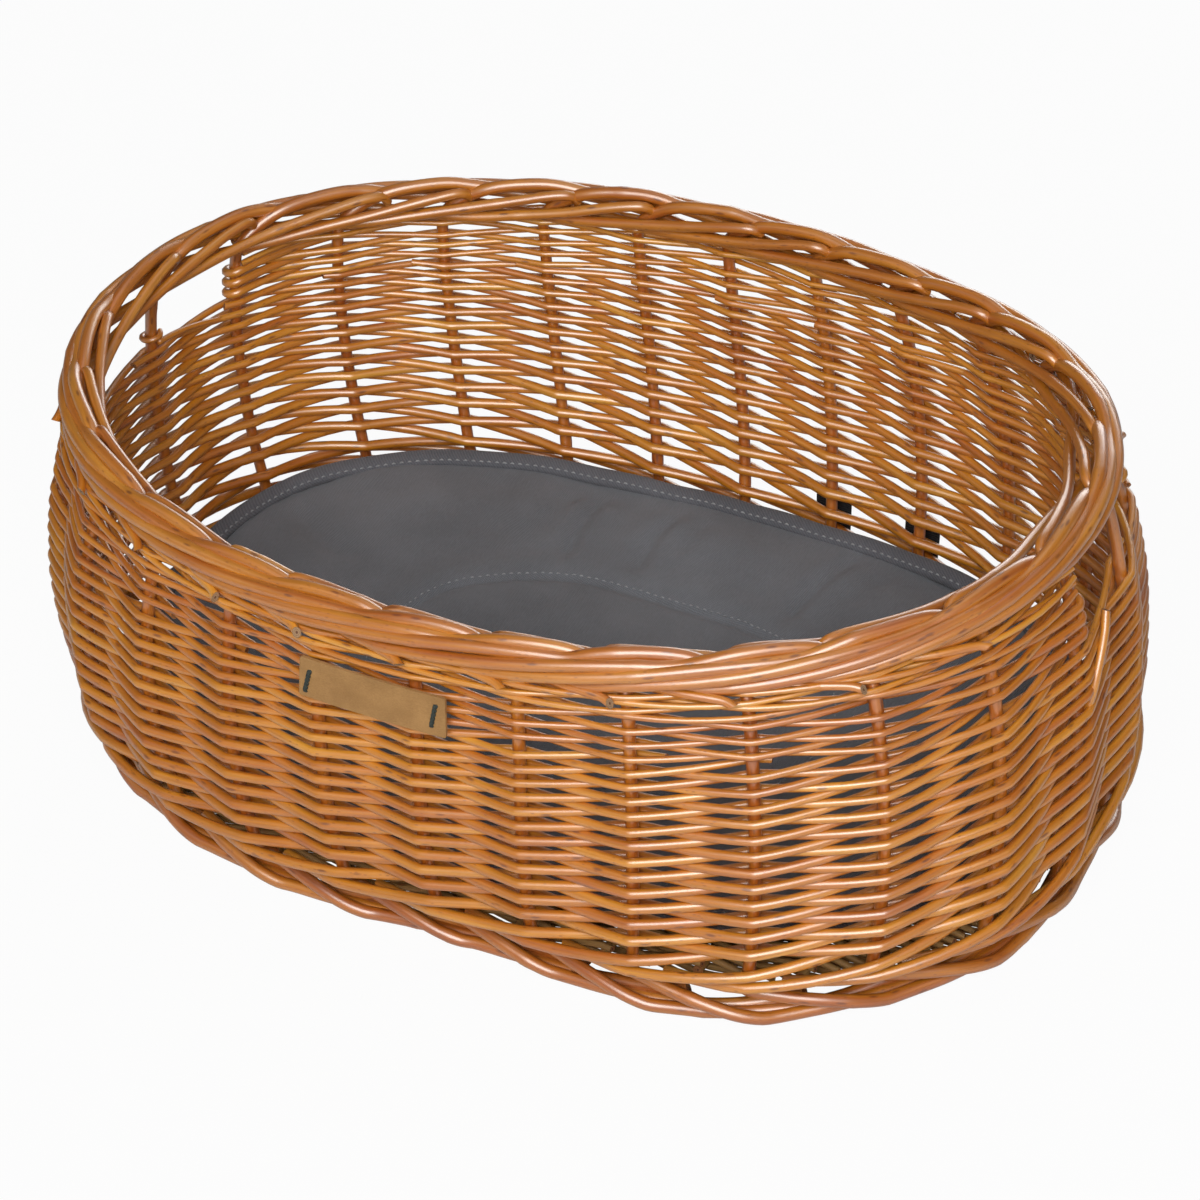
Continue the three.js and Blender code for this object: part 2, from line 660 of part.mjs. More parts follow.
add(cushion, "cushion_pad", cushionPad(), "fabric");
add(cushion, "cushion_binding", cushionBinding(), "fabric");

export default model;
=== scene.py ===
# Oval wicker basket with a loose dished cushion: materials, woven rods, cushion, light and camera.
# Lengths in the named sizes are in millimetres, and Blender's objects are in metres.
import math
import bmesh
import bpy
import numpy as np
from mathutils import Matrix, Vector
from mathutils.bvhtree import BVHTree


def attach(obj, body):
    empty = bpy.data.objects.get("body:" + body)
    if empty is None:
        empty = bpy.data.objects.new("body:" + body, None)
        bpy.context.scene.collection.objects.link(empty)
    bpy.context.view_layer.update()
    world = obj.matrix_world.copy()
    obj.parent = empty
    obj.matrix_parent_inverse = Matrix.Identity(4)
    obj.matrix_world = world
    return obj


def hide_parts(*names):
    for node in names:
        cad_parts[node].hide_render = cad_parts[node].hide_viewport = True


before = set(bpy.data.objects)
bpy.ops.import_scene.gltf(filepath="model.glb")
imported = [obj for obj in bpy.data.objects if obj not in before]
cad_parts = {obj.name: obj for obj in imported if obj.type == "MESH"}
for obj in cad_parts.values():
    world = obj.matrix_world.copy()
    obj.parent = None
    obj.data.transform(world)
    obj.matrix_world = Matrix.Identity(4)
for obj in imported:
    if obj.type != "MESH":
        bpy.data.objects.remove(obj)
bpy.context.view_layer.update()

MM = 0.001
UP = np.array([0.0, 0.0, 1.0])

# Plan of the wall at the foot, the belly and the rim: half length, half width, squareness
PLANS = [(260.5, 172, 2.7), (272, 188.5, 2.6), (258, 186.5, 2.16)]
RIM_HEIGHT = 202
RIM_END_RISE = 7.6

# Places where the wall is pushed in a little: direction and spread in degrees, depth at rim and foot
DENTS = [
    (66, 18, 5.2, 0), (138, 24, 4.5, 0), (-138, 25, 0, 8),
    (-86, 18, 0, 9), (-58, 14, 0, -8), (-38, 14, 0, 7),
]

# Stakes. The phase and the lean are in spaces between stakes.
STAKES = 26
STAKE_PHASE = -0.41
STAKE_LEAN = 0.21
STAKE_SPREAD = 0.007
STAKE_DIAMETER = 6.2
RIGHT_HANDLE_STAKE = 1
LEFT_HANDLE_STAKE = 13

# Wall rods, thick at the butt and thin at the tip. A rod runs past ROD_SPACES stakes. Its first
# heights are those at the stakes from one before its own. Between two stakes it has points at the
# shares ROD_STEPS, and the nearer ROD_BEND is to 1, the tighter it bends round them.
ROD_BUTT = 5.7
ROD_TIP = 3.7
ROD_SPACES = 26.2
ROD_BEND = 0.9993
ROD_STEPS = np.array([0, 0.015, 0.04, 0.08, 0.16, 0.3, 0.5, 0.7, 0.84, 0.92, 0.96, 0.985])
FIRST_HEIGHTS = [22, 27, 35, 42.5, 49]
WALL_TOP = 155.5

# Rows beside the handle holes, and the strands under the rim
PACKING_DIAMETER = 3.3
PACKING_ROWS = 6
PACKING_BOTTOM = 158.4
PACKING_PITCH = 3.55
WALE_STRANDS = 6
WALE_PERIOD = 3
WALE_DIAMETER = 3.1
WALE_BOTTOM = 180.6
WALE_PITCH = 2.2
BUTT_DIAMETER = 4.3

# Laid borders
RIM_CENTRE = 199.5
RIM_RADIUS = 7.8
RIM_ROD = 6.9
RIM_TAIL = 5.4
FOOT_ROD = 6.6
FOOT_RADIUS = 5.3
FOOT_CENTRE = 8.7

# Base
BASE_STICK = 5.0
BASE_STICK_HEIGHT = 19.8
BASE_WEAVER = 3.6
BASE_ROW_PITCH = 2.8
BASE_CROSS_STICKS = 9
BASE_CROSS_PITCH = 46
BASE_LONG_STICKS = 3
BASE_LONG_PITCH = 30
BASE_INSET = 7
BASE_BEND = 0.9
BASE_SHORTEST = 40

# Cushion
CUSHION_BOTTOM = 25.8
CUSHION_HALF = (248, 162)
CUSHION_SQUARENESS = 2.8
PAD_INSET = 3
PAD_MESH_SIZE = 5
PANEL_HALF = (122, 77)
PANEL_SQUARENESS = 2.35
EDGE_TOP = 42.5
SEAM_TOP = 33.0

# Tag and tabs. A shape is the distance from the wall's middle, the thickness and the corners' radius.
TAG_SIZE = (78, 22)
TAG_SHAPE = (8.0, 1.5, 1.2)
TAG_HEIGHT = 166
TAG_CENTRE_X = -3.5
TAB_PLACES = [5.09, 6.08]
TAB_SIZE = (20, 24)
TAB_SHAPE = (10.5, 2.0, 4.0)
TAB_HEIGHT = 32.3
STRIP_BEVEL = 0.3


# Camera

def make_camera():
    right = Vector((0.87843291, 0.47510351, -0.0513058))
    up = Vector((-0.24649612, 0.54247878, 0.8030918))
    back = Vector((0.40938404, -0.69281558, 0.59364239))
    place = Vector((0.851136, -1.433015, 1.318049))
    camera = bpy.data.objects.new("camera", bpy.data.cameras.new("camera"))
    camera.data.sensor_width = 36
    camera.data.lens = 123.58
    camera.data.clip_end = 20
    camera.matrix_world = Matrix((*zip(right, up, back, place), (0, 0, 0, 1)))
    bpy.context.scene.collection.objects.link(camera)
    bpy.context.scene.camera = camera


make_camera()


# Plan ovals and the wall

def oval(half_length, half_width, squareness, turn):
    c, s = np.cos(turn), np.sin(turn)
    x = half_length * np.sign(c) * np.abs(c) ** (2 / squareness)
    y = half_width * np.sign(s) * np.abs(s) ** (2 / squareness)
    return x, y


# Turns of an oval and the share of its length up to each
def length_table(half_length, half_width, squareness):
    turns = np.linspace(0, 2 * np.pi, 1441)
    x, y = oval(half_length, half_width, squareness, turns)
    lengths = np.concatenate([[0], np.cumsum(np.hypot(np.diff(x), np.diff(y)))])
    return turns, lengths / lengths[-1]


TABLES = [length_table(*plan) for plan in PLANS]


def turn_at(share, table):
    return np.interp(share - np.floor(share), table[1], table[0])


# Value at a level between the foot (0) and the rim (1), through the belly halfway up
def mix3(level, foot, belly, rim):
    low = foot * (1 - level) * (1 - 2 * level)
    return low + belly * 4 * level * (1 - level) + rim * level * (2 * level - 1)


# Points of the wall at places counted in stakes, with the directions outward and along the wall
def wall(place, height, outward=0.0):
    place, height, outward = np.broadcast_arrays(*(np.asarray(v, float) for v in (place, height, outward)))
    even = (place + STAKE_PHASE) / STAKES
    level = height / RIM_HEIGHT
    share = even + STAKE_LEAN * level / STAKES + STAKE_SPREAD * np.sin(4 * np.pi * even)
    half_length, half_width, squareness = (mix3(level, *sizes) for sizes in zip(*PLANS))
    turn = mix3(level, *(turn_at(share, table) for table in TABLES))
    x, y = oval(half_length, half_width, squareness, turn)
    normal = np.stack([
        np.sign(x) * np.abs(x / half_length) ** (squareness - 1) / half_length,
        np.sign(y) * np.abs(y / half_width) ** (squareness - 1) / half_width,
        np.zeros_like(x),
    ], axis=-1)
    normal /= np.linalg.norm(normal, axis=-1, keepdims=True)
    direction = np.degrees(np.arctan2(y / half_width, x / half_length))
    for at, spread, rim_depth, foot_depth in DENTS:
        depth = rim_depth * level ** 2 + foot_depth * np.clip(1 - level, 0, 1) ** 6
        outward = outward - depth * np.exp(-((direction - at) / spread) ** 2)
    rise = RIM_END_RISE * (x / half_length * level) ** 2
    point = np.stack([x, y, height + rise], axis=-1) + outward[..., None] * normal
    return point, normal, np.cross(UP, normal)


# Materials

# A material, with short ways to add nodes to it
class Nodes:
    def __init__(self, name):
        self.material = bpy.data.materials.new(name)
        self.material.use_nodes = True
        self.tree = self.material.node_tree
        self.shader = self.tree.nodes["Principled BSDF"]

    def add(self, kind, inputs=None, **settings):
        node = self.tree.nodes.new(kind)
        for key, value in settings.items():
            setattr(node, key, value)
        for key, value in (inputs or {}).items():
            self.set(node.inputs[key], value)
        return node

    def set(self, socket, value):
        if isinstance(value, bpy.types.NodeSocket):
            self.tree.links.new(value, socket)
        else:
            socket.default_value = value

    def shade(self, **inputs):
        for key, value in inputs.items():
            self.set(self.shader.inputs[key.replace("_", " ")], value)

    def math(self, operation, a, b=0.5):
        return self.add("ShaderNodeMath", {0: a, 1: b}, operation=operation).outputs[0]

    # One value plus a share of another
    def plus(self, a, b, share):
        return self.math("ADD", a, self.math("MULTIPLY", b, share))

    def mix(self, factor, a, b, blend="MIX"):
        node = self.add("ShaderNodeMix", data_type="RGBA", blend_type=blend)
        self.set(node.inputs[0], factor)
        self.set(node.inputs[6], a)
        self.set(node.inputs[7], b)
        return node.outputs[2]

    # Place on a rod, across it and along it
    def rod_place(self):
        return self.add("ShaderNodeAttribute", attribute_name="rod").outputs["Vector"]

    # Place in the piece's own coordinates
    def object_place(self):
        return self.add("ShaderNodeTexCoord").outputs["Object"]

    def scaled(self, vector, scale):
        return self.add("ShaderNodeVectorMath", {0: vector, 1: scale}, operation="MULTIPLY").outputs[0]

    def noise(self, vector, detail, roughness=0.55):
        inputs = {"Vector": vector, "Scale": 1.0, "Detail": detail, "Roughness": roughness}
        return self.add("ShaderNodeTexNoise", inputs).outputs["Fac"]

    def waves(self, vector, scale, distortion, direction):
        inputs = {"Vector": vector, "Scale": scale, "Distortion": distortion}
        return self.add("ShaderNodeTexWave", inputs, bands_direction=direction).outputs["Fac"]

    def ramp(self, value, stops):
        node = self.add("ShaderNodeValToRGB", {0: value})
        ends = node.color_ramp.elements
        while len(ends) < len(stops):
            ends.new(0.5)
        for element, (position, colour) in zip(ends, stops):
            element.position = position
            element.color = colour if len(colour) == 4 else (*colour, 1)
        return node.outputs[0]

    # Scattered flecks: their size against the cell is near to far, and only the cells over pick have one
    def flecks(self, vector, scale, near, far, pick):
        cells = self.add("ShaderNodeTexVoronoi", {"Vector": self.scaled(vector, scale), "Scale": 1.0})
        spot = self.ramp(cells.outputs["Distance"], [(near, (1, 1, 1)), (far, (0, 0, 0))])
        chance = self.add("ShaderNodeSeparateColor", {0: cells.outputs["Color"]}).outputs[0]
        return self.math("MULTIPLY", spot, self.math("GREATER_THAN", chance, pick))

    def bump(self, height, distance, strength=1.0):
        node = self.add("ShaderNodeBump", {"Height": height, "Distance": distance, "Strength": strength})
        return node.outputs[0]


# Linear colour from one written as red, green and blue up to 255
def rgb(*parts):
    shares = [part / 255 for part in parts]
    linear = [share / 12.92 if share <= 0.04045 else ((share + 0.055) / 1.055) ** 2.4 for share in shares]
    return (*linear, 1)


# Darker or paler colour
def shaded(colour, factor):
    return tuple(factor * v for v in colour[:3])


# Lacquered willow. Its grain runs along the rod, and it has dark knots and small specks. The
# attribute "rod" holds the place across the rod and along it, and "tone" how pale it is there.
def willow(name, stops, roughness=0.34, coat=0.9):
    n = Nodes(name)
    rod = n.rod_place()
    tone = n.add("ShaderNodeAttribute", attribute_name="tone").outputs["Fac"]
    grain = n.noise(n.scaled(rod, (700, 700, 26)), 4.0, 0.6)
    streak = n.noise(n.scaled(rod, (260, 260, 5)), 2.0)
    patch = n.noise(n.scaled(rod, (60, 60, 22)), 2.0)
    level = n.math("SUBTRACT", n.plus(n.plus(tone, streak, 0.8), patch, 0.6), 0.7)
    colour = n.ramp(level, [(i / (len(stops) - 1), stop) for i, stop in enumerate(stops)])
    fine = n.ramp(grain, [(0.35, (0.84, 0.8, 0.74)), (0.62, (1.05, 1.04, 1.03))])
    colour = n.mix(1.0, colour, fine, "MULTIPLY")
    knot = n.flecks(rod, (300, 300, 80), 0.12, 0.27, 0.6)
    speck = n.flecks(rod, (680, 680, 230), 0.14, 0.28, 0.62)
    colour = n.mix(n.math("MULTIPLY", speck, 0.6), colour, rgb(140, 66, 10))
    colour = n.mix(n.math("MULTIPLY", knot, 0.75), colour, rgb(108, 46, 6))
    height = n.plus(grain, streak, 0.8)
    n.shade(Base_Color=colour, Roughness=n.plus(roughness, grain, 0.2), Normal=n.bump(height, 0.0002, 0.6))
    n.shade(Coat_Weight=coat, Coat_Roughness=0.35, Coat_IOR=2.0, Specular_IOR_Level=0.5 + 0.5 * coat)
    n.shade(Specular_Tint=(1, 0.92, 0.78, 1))
    return n.material


# The cut end of a rod, with its rings and a darker pith
def cut_wood(name, dark, pale):
    n = Nodes(name)
    rod = n.rod_place()
    flat = n.scaled(rod, (1, 1, 0))
    reach = n.add("ShaderNodeVectorMath", {0: flat}, operation="LENGTH").outputs["Value"]
    rings = n.math("SINE", n.math("MULTIPLY", reach, 9000.0))
    speck = n.noise(n.scaled(rod, (2600, 2600, 900)), 3.0)
    level = n.plus(speck, rings, 0.12)
    pith = n.math("LESS_THAN", reach, 0.0005)
    colour = n.mix(pith, n.ramp(level, [(0.3, dark), (0.7, pale)]), rgb(98, 60, 34))
    n.shade(Base_Color=colour, Roughness=0.75, Normal=n.bump(level, 0.0003))
    return n.material


# Closely woven dark cloth, plain or as a twill, with faint slubs. A wave texture has a band every
# WAVE_REPEAT over its scale.
WAVE_REPEAT = 0.314


def canvas(name, colour, twill, pitch):
    n = Nodes(name)
    place = n.object_place()
    turned = n.add("ShaderNodeMapping", {"Vector": place, "Rotation": (0, 0, 0.12)}).outputs[0]
    warp = n.waves(turned, WAVE_REPEAT / pitch, 0.6, "DIAGONAL" if twill else "X")
    weft = n.waves(turned, WAVE_REPEAT / pitch, 0.6, "Y")
    slub = n.noise(n.scaled(place, (2200, 300, 300)), 3.0)
    cloud = n.noise(n.scaled(place, (16, 16, 16)), 3.0)
    weave = n.plus(warp, weft, 0.3 if twill else 1.0)
    level = n.plus(n.plus(n.math("MULTIPLY", weave, 0.16), slub, 0.3), cloud, 0.45)
    # The strong light and dark of this ramp is partly painted shade: with the soft blotches it stands in for
    # the shading of the cushion's creases, while the weave and the slubs are the cloth's own.
    stops = [(0.3, shaded(colour, 0.62)), (0.78, shaded(colour, 1.42))]
    n.shade(Base_Color=n.ramp(level, stops), Roughness=0.92)
    n.shade(Normal=n.bump(n.plus(weave, slub, 0.6), 0.00018, 0.8))
    n.shade(Sheen_Weight=0.12, Sheen_Roughness=0.5, Specular_IOR_Level=0.25)
    return n.material


# Tan leather board with a pebbled face and darker, rubbed places
def leather():
    n = Nodes("tag_leather")
    place = n.object_place()
    pebble = n.add("ShaderNodeTexVoronoi", {"Vector": place, "Scale": 1500.0}).outputs["Distance"]
    fibre = n.noise(n.scaled(place, (900, 900, 2600)), 4.0)
    cloud = n.noise(n.scaled(place, (70, 70, 70)), 3.0)
    level = n.plus(n.math("MULTIPLY", fibre, 0.5), cloud, 0.5)
    n.shade(Base_Color=n.ramp(level, [(0.3, rgb(140, 102, 58)), (0.7, rgb(176, 134, 82))]), Roughness=0.62)
    n.shade(Normal=n.bump(n.math("ADD", pebble, fibre), 0.0002, 0.6), Specular_IOR_Level=0.35)
    return n.material


# Twisted thread
def thread(name, colour):
    n = Nodes(name)
    twist = n.noise(n.scaled(n.rod_place(), (2400, 2400, 900)), 2.0)
    n.shade(Base_Color=n.ramp(twist, [(0.35, shaded(colour, 0.55)), (0.65, colour)]), Roughness=0.8)
    n.shade(Normal=n.bump(twist, 0.0002))
    return n.material


# Black webbing with ribs across it
def webbing():
    n = Nodes("webbing")
    place = n.object_place()
    ribs = n.waves(place, 260.0, 0.8, "Z")
    fuzz = n.noise(n.scaled(place, (1500, 1500, 1500)), 3.0)
    level = n.plus(n.math("MULTIPLY", ribs, 0.5), fuzz, 0.5)
    n.shade(Base_Color=n.ramp(level, [(0.3, rgb(12, 12, 14)), (0.75, rgb(38, 39, 42))]), Roughness=0.8)
    n.shade(Normal=n.bump(level, 0.0004))
    return n.material


WEAVER = willow("willow_rods", [rgb(132, 59, 2), rgb(184, 100, 5), rgb(207, 132, 18), rgb(231, 170, 58)])
STAKE = willow("willow_stakes", [rgb(120, 52, 3), rgb(172, 89, 7), rgb(195, 120, 20), rgb(218, 153, 56)])
BASE = willow("willow_base", [rgb(124, 90, 48), rgb(160, 122, 70), rgb(186, 150, 96)], 0.49, 0.05)
CUT = cut_wood("cut_rod", rgb(126, 76, 38), rgb(178, 118, 66))
BUTT = cut_wood("cut_butt", rgb(122, 94, 68), rgb(188, 152, 114))
CLOTH = canvas("cushion_canvas", rgb(110, 113, 118), False, 0.0009)
TAPE = canvas("binding_twill", rgb(98, 99, 104), True, 0.0011)
LEATHER = leather()
THREAD = thread("tag_thread", rgb(52, 60, 54))
STITCH = thread("cushion_thread", rgb(166, 168, 171))
WEBBING = webbing()


# Piece in the scene with its mesh and its material
def link(name, mesh, look):
    mesh.materials.append(look)
    piece = bpy.data.objects.new(name, mesh)
    bpy.context.scene.collection.objects.link(piece)
    return piece


# Rods

# Rounds the corners of a line of points
def rounded(points, times=3):
    points = np.asarray(points, float)
    for _ in range(times):
        near = 0.75 * points[:-1] + 0.25 * points[1:]
        far = 0.25 * points[:-1] + 0.75 * points[1:]
        middle = np.stack([near, far], axis=1).reshape(-1, points.shape[1])
        points = np.concatenate([points[:1], middle[1:-1], points[-1:]])
    return points


# Rows at equal distances along a line: a point and the values that go with it
def respaced(rows, spacing):
    steps = np.concatenate([[0], np.cumsum(np.linalg.norm(np.diff(rows[:, :3], axis=0), axis=1))])
    at = np.linspace(0, steps[-1], max(3, int(round(steps[-1] / spacing)) + 1))
    return np.stack([np.interp(at, steps, column) for column in rows.T], axis=1)


# A rod's girth is a little uneven, and now and then a knob swells it
UNEVENNESS = 0.012
KNOB_SWELLING = 0.09
KNOB_LENGTH = 3.2
ANY_TURN = (0, 6.28)


# Bent rod through points in millimetres. Its skin and its two cut ends are one mesh.
def rod(name, points, radii, look, seed, sides=10, slant=0.35, knobs=True, tone=None, ends=None):
    rng = np.random.default_rng(seed)
    points = np.asarray(points, float)
    radii = np.broadcast_to(np.asarray(radii, float), len(points)).copy()
    steps = np.concatenate([[0], np.cumsum(np.linalg.norm(np.diff(points, axis=0), axis=1))])
    waves = sum(np.sin(steps / length + rng.uniform(*ANY_TURN)) for length in (9.0, 17.0, 31.0))
    radii *= 1 + UNEVENNESS * waves
    if knobs:
        first, pitch = rng.uniform(20, 80), int(rng.integers(85, 130))
        for knob in np.arange(first, steps[-1] - 15, pitch):
            radii *= 1 + KNOB_SWELLING * np.exp(-((steps - knob) / KNOB_LENGTH) ** 2)
    tangent = np.gradient(points, axis=0)
    tangent /= np.linalg.norm(tangent, axis=1, keepdims=True)
    right = np.zeros_like(points)
    guide = np.cross(tangent[0], UP if abs(tangent[0][2]) < 0.9 else np.array([1.0, 0, 0]))
    for i in range(len(points)):
        guide = guide - tangent[i] * guide.dot(tangent[i])
        guide /= np.linalg.norm(guide)
        right[i] = guide
    above = np.cross(right, tangent)
    turn = 2 * np.pi * np.arange(sides) / sides
    cross = np.cos(turn)[None, :, None] * right[:, None] + np.sin(turn)[None, :, None] * above[:, None]
    oblique = np.zeros(len(points))
    oblique[0], oblique[-1] = -slant, slant
    skin = points[:, None] + radii[:, None, None] * (
        cross + (oblique[:, None] * np.cos(turn + rng.uniform(*ANY_TURN)))[..., None] * tangent[:, None])
    start, tilt = 1000 * rng.uniform(0, 50), rng.uniform(*ANY_TURN)
    local = np.stack([
        radii[:, None] * np.cos(turn + tilt),
        radii[:, None] * np.sin(turn + tilt),
        np.repeat(steps[:, None] + start, sides, axis=1),
    ], axis=-1)
    count = len(points) * sides
    vertices = [skin.reshape(-1, 3), skin[0], skin[:1].mean(axis=1), skin[-1], skin[-1:].mean(axis=1)]
    middle = np.array([[0, 0, start]])
    coordinates = [local.reshape(-1, 3), local[0], middle, local[-1], middle]
    tones = np.broadcast_to(rng.uniform(0.42, 0.66) if tone is None else tone, len(points))
    end_tones = np.repeat(tones[[0, -1]], sides + 1)
    tones = np.concatenate([np.repeat(tones, sides), end_tones])
    ring = np.arange(sides)
    following = (ring + 1) % sides
    rows = sides * np.arange(len(points) - 1)[:, None]
    corners = [rows + ring, rows + following, rows + sides + following, rows + sides + ring]
    quads = np.stack(corners, axis=-1)
    faces = quads.reshape(-1, 4).tolist()
    for first, order in ((count, 1), (count + sides + 1, -1)):
        faces += [[first + sides, *pair[::order]] for pair in zip(first + following, first + ring)]
    mesh = bpy.data.meshes.new(name)
    mesh.from_pydata((MM * np.concatenate(vertices)).tolist(), [], faces)
    smooth = np.ones(len(faces), bool)
    smooth[len(faces) - 2 * sides:] = False
    mesh.polygons.foreach_set("use_smooth", smooth)
    mesh.polygons.foreach_set("material_index", (~smooth).astype(np.int32))
    place = mesh.attributes.new("rod", "FLOAT_VECTOR", "POINT")
    place.data.foreach_set("vector", (MM * np.concatenate(coordinates)).ravel())
    mesh.attributes.new("tone", "FLOAT", "POINT").data.foreach_set("value", tones)
    piece = link(name, mesh, look)
    mesh.materials.append(ends or CUT)
    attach(piece, "basket")
    return piece


def two_digits(number):
    return str(number).zfill(2)


# Stakes with both laid borders

# Rows of a rod laid into a border: the spaces run from the stake, how far the rod's middle is beyond
# the border's radius, and its turn about the border's middle. 0 degrees is outward and 90 is up.
RIM_LAY = [
    (0.03, -0.3, -92), (0.14, -5.8, -100), (0.28, -5.3, 100), (0.42, -1.3, 105), (0.6, 0.8, 99),
    (0.85, 1.8, 92), (1.1, 1.8, 84), (1.3, 0.2, 77), (1.5, -2.2, 69), (1.7, -1.6, 61),
    (1.95, 0, 54), (2.4, 0.9, 42), (2.9, 0.9, 24), (3.4, 0.7, 4), (3.9, 0.6, -18),
    (4.35, 0.8, -44), (4.8, 1, -80), (5.3, 1, -120), (5.8, 1, -152), (6.3, 1.3, -178),
    (6.8, 1.5, -203), (7.15, 1.5, -222), (7.36, 1, -234), (7.43, -1.5, -238), (7.45, -6, -242),
]
FOOT_LAY = [
    (0.02, 3.7, 92), (0.2, 2.5, 84), (0.42, 0.8, 64), (0.7, 1, 30), (0.95, 1.2, -6),
    (1.15, 1.2, -38), (1.24, 0.8, -52), (1.34, 0.2, -60), (1.8, -0.4, -78), (2.3, -0.3, -104),
    (2.8, 0, -134), (3.2, 0.3, -166), (3.5, 0.6, -196),
]
UPRIGHT_POINTS = 12

# The rods of the stakes round HANGING_STAKE run straight across inside the right end instead of
# following the rim, and are furthest in when they have run HANGING_PLACE spaces
HANGING_STAKE = 5.5
HANGING_DEPTH = 15
HANGING_PLACE = 5.4


# Line of a rod laid into a border, and the spaces run at its points. The further it has run, the
# looser it lies.
def laid(stake, height, direction, rows, radius, rng, hanging=0.0, cut=0.0):
    spaces, beyond, turn = np.array(rows, float).T
    loose = np.clip(spaces - 0.4, 0, 1)
    distance = radius + beyond + loose * rng.normal(0, 0.25, len(rows))
    turn = np.radians(turn + loose * (rng.normal(0, 3.5) + rng.normal(0, 1.2, len(rows))))
    spaces = spaces + cut * np.clip(spaces - 6.2, 0, 1)
    inward = hanging * np.exp(-((spaces - HANGING_PLACE) / 0.9) ** 2)
    point, _, _ = wall(stake + direction * spaces, height, distance * np.cos(turn) - inward)
    point[:, 2] += distance * np.sin(turn) - 0.3 * inward
    return point, spaces


def stake_rod(stake):
    rng = np.random.default_rng(500 + stake)
    hanging = HANGING_DEPTH * math.exp(-((stake - HANGING_STAKE) / 2.2) ** 2) + rng.uniform(0, 1.2)
    cut = rng.uniform(-0.3, 0.05)
    rim, spaces = laid(stake, RIM_CENTRE, -1, RIM_LAY, RIM_RADIUS, rng, hanging, cut)
    foot, _ = laid(stake, FOOT_CENTRE, 1, FOOT_LAY, FOOT_RADIUS, rng)
    heights = np.linspace(RIM_CENTRE - RIM_RADIUS - 5, FOOT_CENTRE + FOOT_RADIUS + 8, UPRIGHT_POINTS)
    upright, _, _ = wall(stake, heights, 0.25 * rng.normal(0, 1, UPRIGHT_POINTS))
    rim_radii = np.interp(spaces, [0, 7.4], [RIM_ROD / 2, RIM_TAIL / 2])
    upright_radii = np.full(UPRIGHT_POINTS, STAKE_DIAMETER / 2)
    radii = np.concatenate([rim_radii[::-1], upright_radii, np.full(len(foot), FOOT_ROD / 2)])
    rim_tone, upright_tone, foot_tone = np.array([0.58, 0.42, 0.48]) + rng.uniform(-0.08, 0.08, 3)
    rim_tones = np.interp(spaces, [0.2, 0.5], [upright_tone, rim_tone])
    upright_tones = np.full(UPRIGHT_POINTS, upright_tone)
    tones = np.concatenate([rim_tones[::-1], upright_tones, np.full(len(foot), foot_tone)])
    rows = np.column_stack([np.concatenate([rim[::-1], upright, foot]), radii, tones])
    rows = respaced(rounded(rows), 3.0)
    rows[:, 2] = np.maximum(rows[:, 2], rows[:, 3] + 0.1)
    name = f"stake_rod_{two_digits(stake + 1)}"
    piece = rod(name, rows[:, :3], rows[:, 3], STAKE, 500 + stake, sides=12, tone=rows[:, 4])
    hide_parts(f"stake_{two_digits(stake + 1)}")


for stake in range(STAKES):
    stake_rod(stake)


# Woven wall

# Height of a wall rod after it has run past some stakes
def rod_height(spaces):
    first = len(FIRST_HEIGHTS) - 2
    low = np.interp(spaces, np.arange(-1, first + 1), FIRST_HEIGHTS)
    run = np.clip(spaces - first, 0, None)
    span = ROD_SPACES - first
    slope = (WALL_TOP - FIRST_HEIGHTS[-1]) / span
    fall = 0.22 * slope
    return np.where(spaces <= first, low, FIRST_HEIGHTS[-1] + (slope + fall) * run - fall * run ** 2 / span)


# Side on which a wall rod passes its stakes: in front of two of them at first, then by turns
def rod_side(crossing):
    return 1 if crossing == 0 or crossing > 0 and crossing % 2 == 1 else -1


# Radius of a wall rod after it has run past some stakes
def rod_radius(spaces):
    return (ROD_BUTT + (ROD_TIP - ROD_BUTT) * np.maximum(spaces, 0) / ROD_SPACES) / 2


# Wave from 1 to -1 and back, whose bends are the tighter the nearer bend is to 1
def bent_wave(turn, bend):
    return np.arcsin(bend * np.cos(turn)) / math.asin(bend)


# Distance from the wall's middle between two crossings, nearly straight with a tight bend at each
def sway(share, before, after):
    if before * after > 0:
        return before + (after - before) * share + 0.8 * np.sin(np.pi * share)
    return (before + after) / 2 + (before - after) / 2 * bent_wave(np.pi * share, ROD_BEND)


def wall_rod(index):
    rng = np.random.default_rng(100 + index)
    last = int(ROD_SPACES)
    places, outs = [], []
    seats = {}
    for m in range(-1, last + 2):
        seats[m] = rod_side(m) * (STAKE_DIAMETER / 2 + rod_radius(m) + rng.uniform(0.0, 0.5))
    for m in range(-1, last + 1):
        places.append(m + ROD_STEPS)
        outs.append(sway(ROD_STEPS, seats[m], seats[m + 1]))
    spaces = np.concatenate(places)
    out = np.concatenate(outs)
    keep = (spaces >= -0.8) & (spaces <= ROD_SPACES + rng.uniform(-0.2, 0.2))
    spaces, out = spaces[keep], out[keep]
    wobble = np.interp(spaces, np.arange(-1, last + 2), rng.normal(0, 0.28, last + 3))
    point, _, _ = wall(index + spaces, rod_height(spaces) + wobble, out)
    piece = rod(f"wall_rod_{two_digits(index + 1)}", point, rod_radius(spaces), WEAVER, 100 + index)
    return piece


wall_rods = [wall_rod(index) for index in range(STAKES)]
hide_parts("wale", *(f"course_{two_digits(i)}" for i in range(1, 13)))


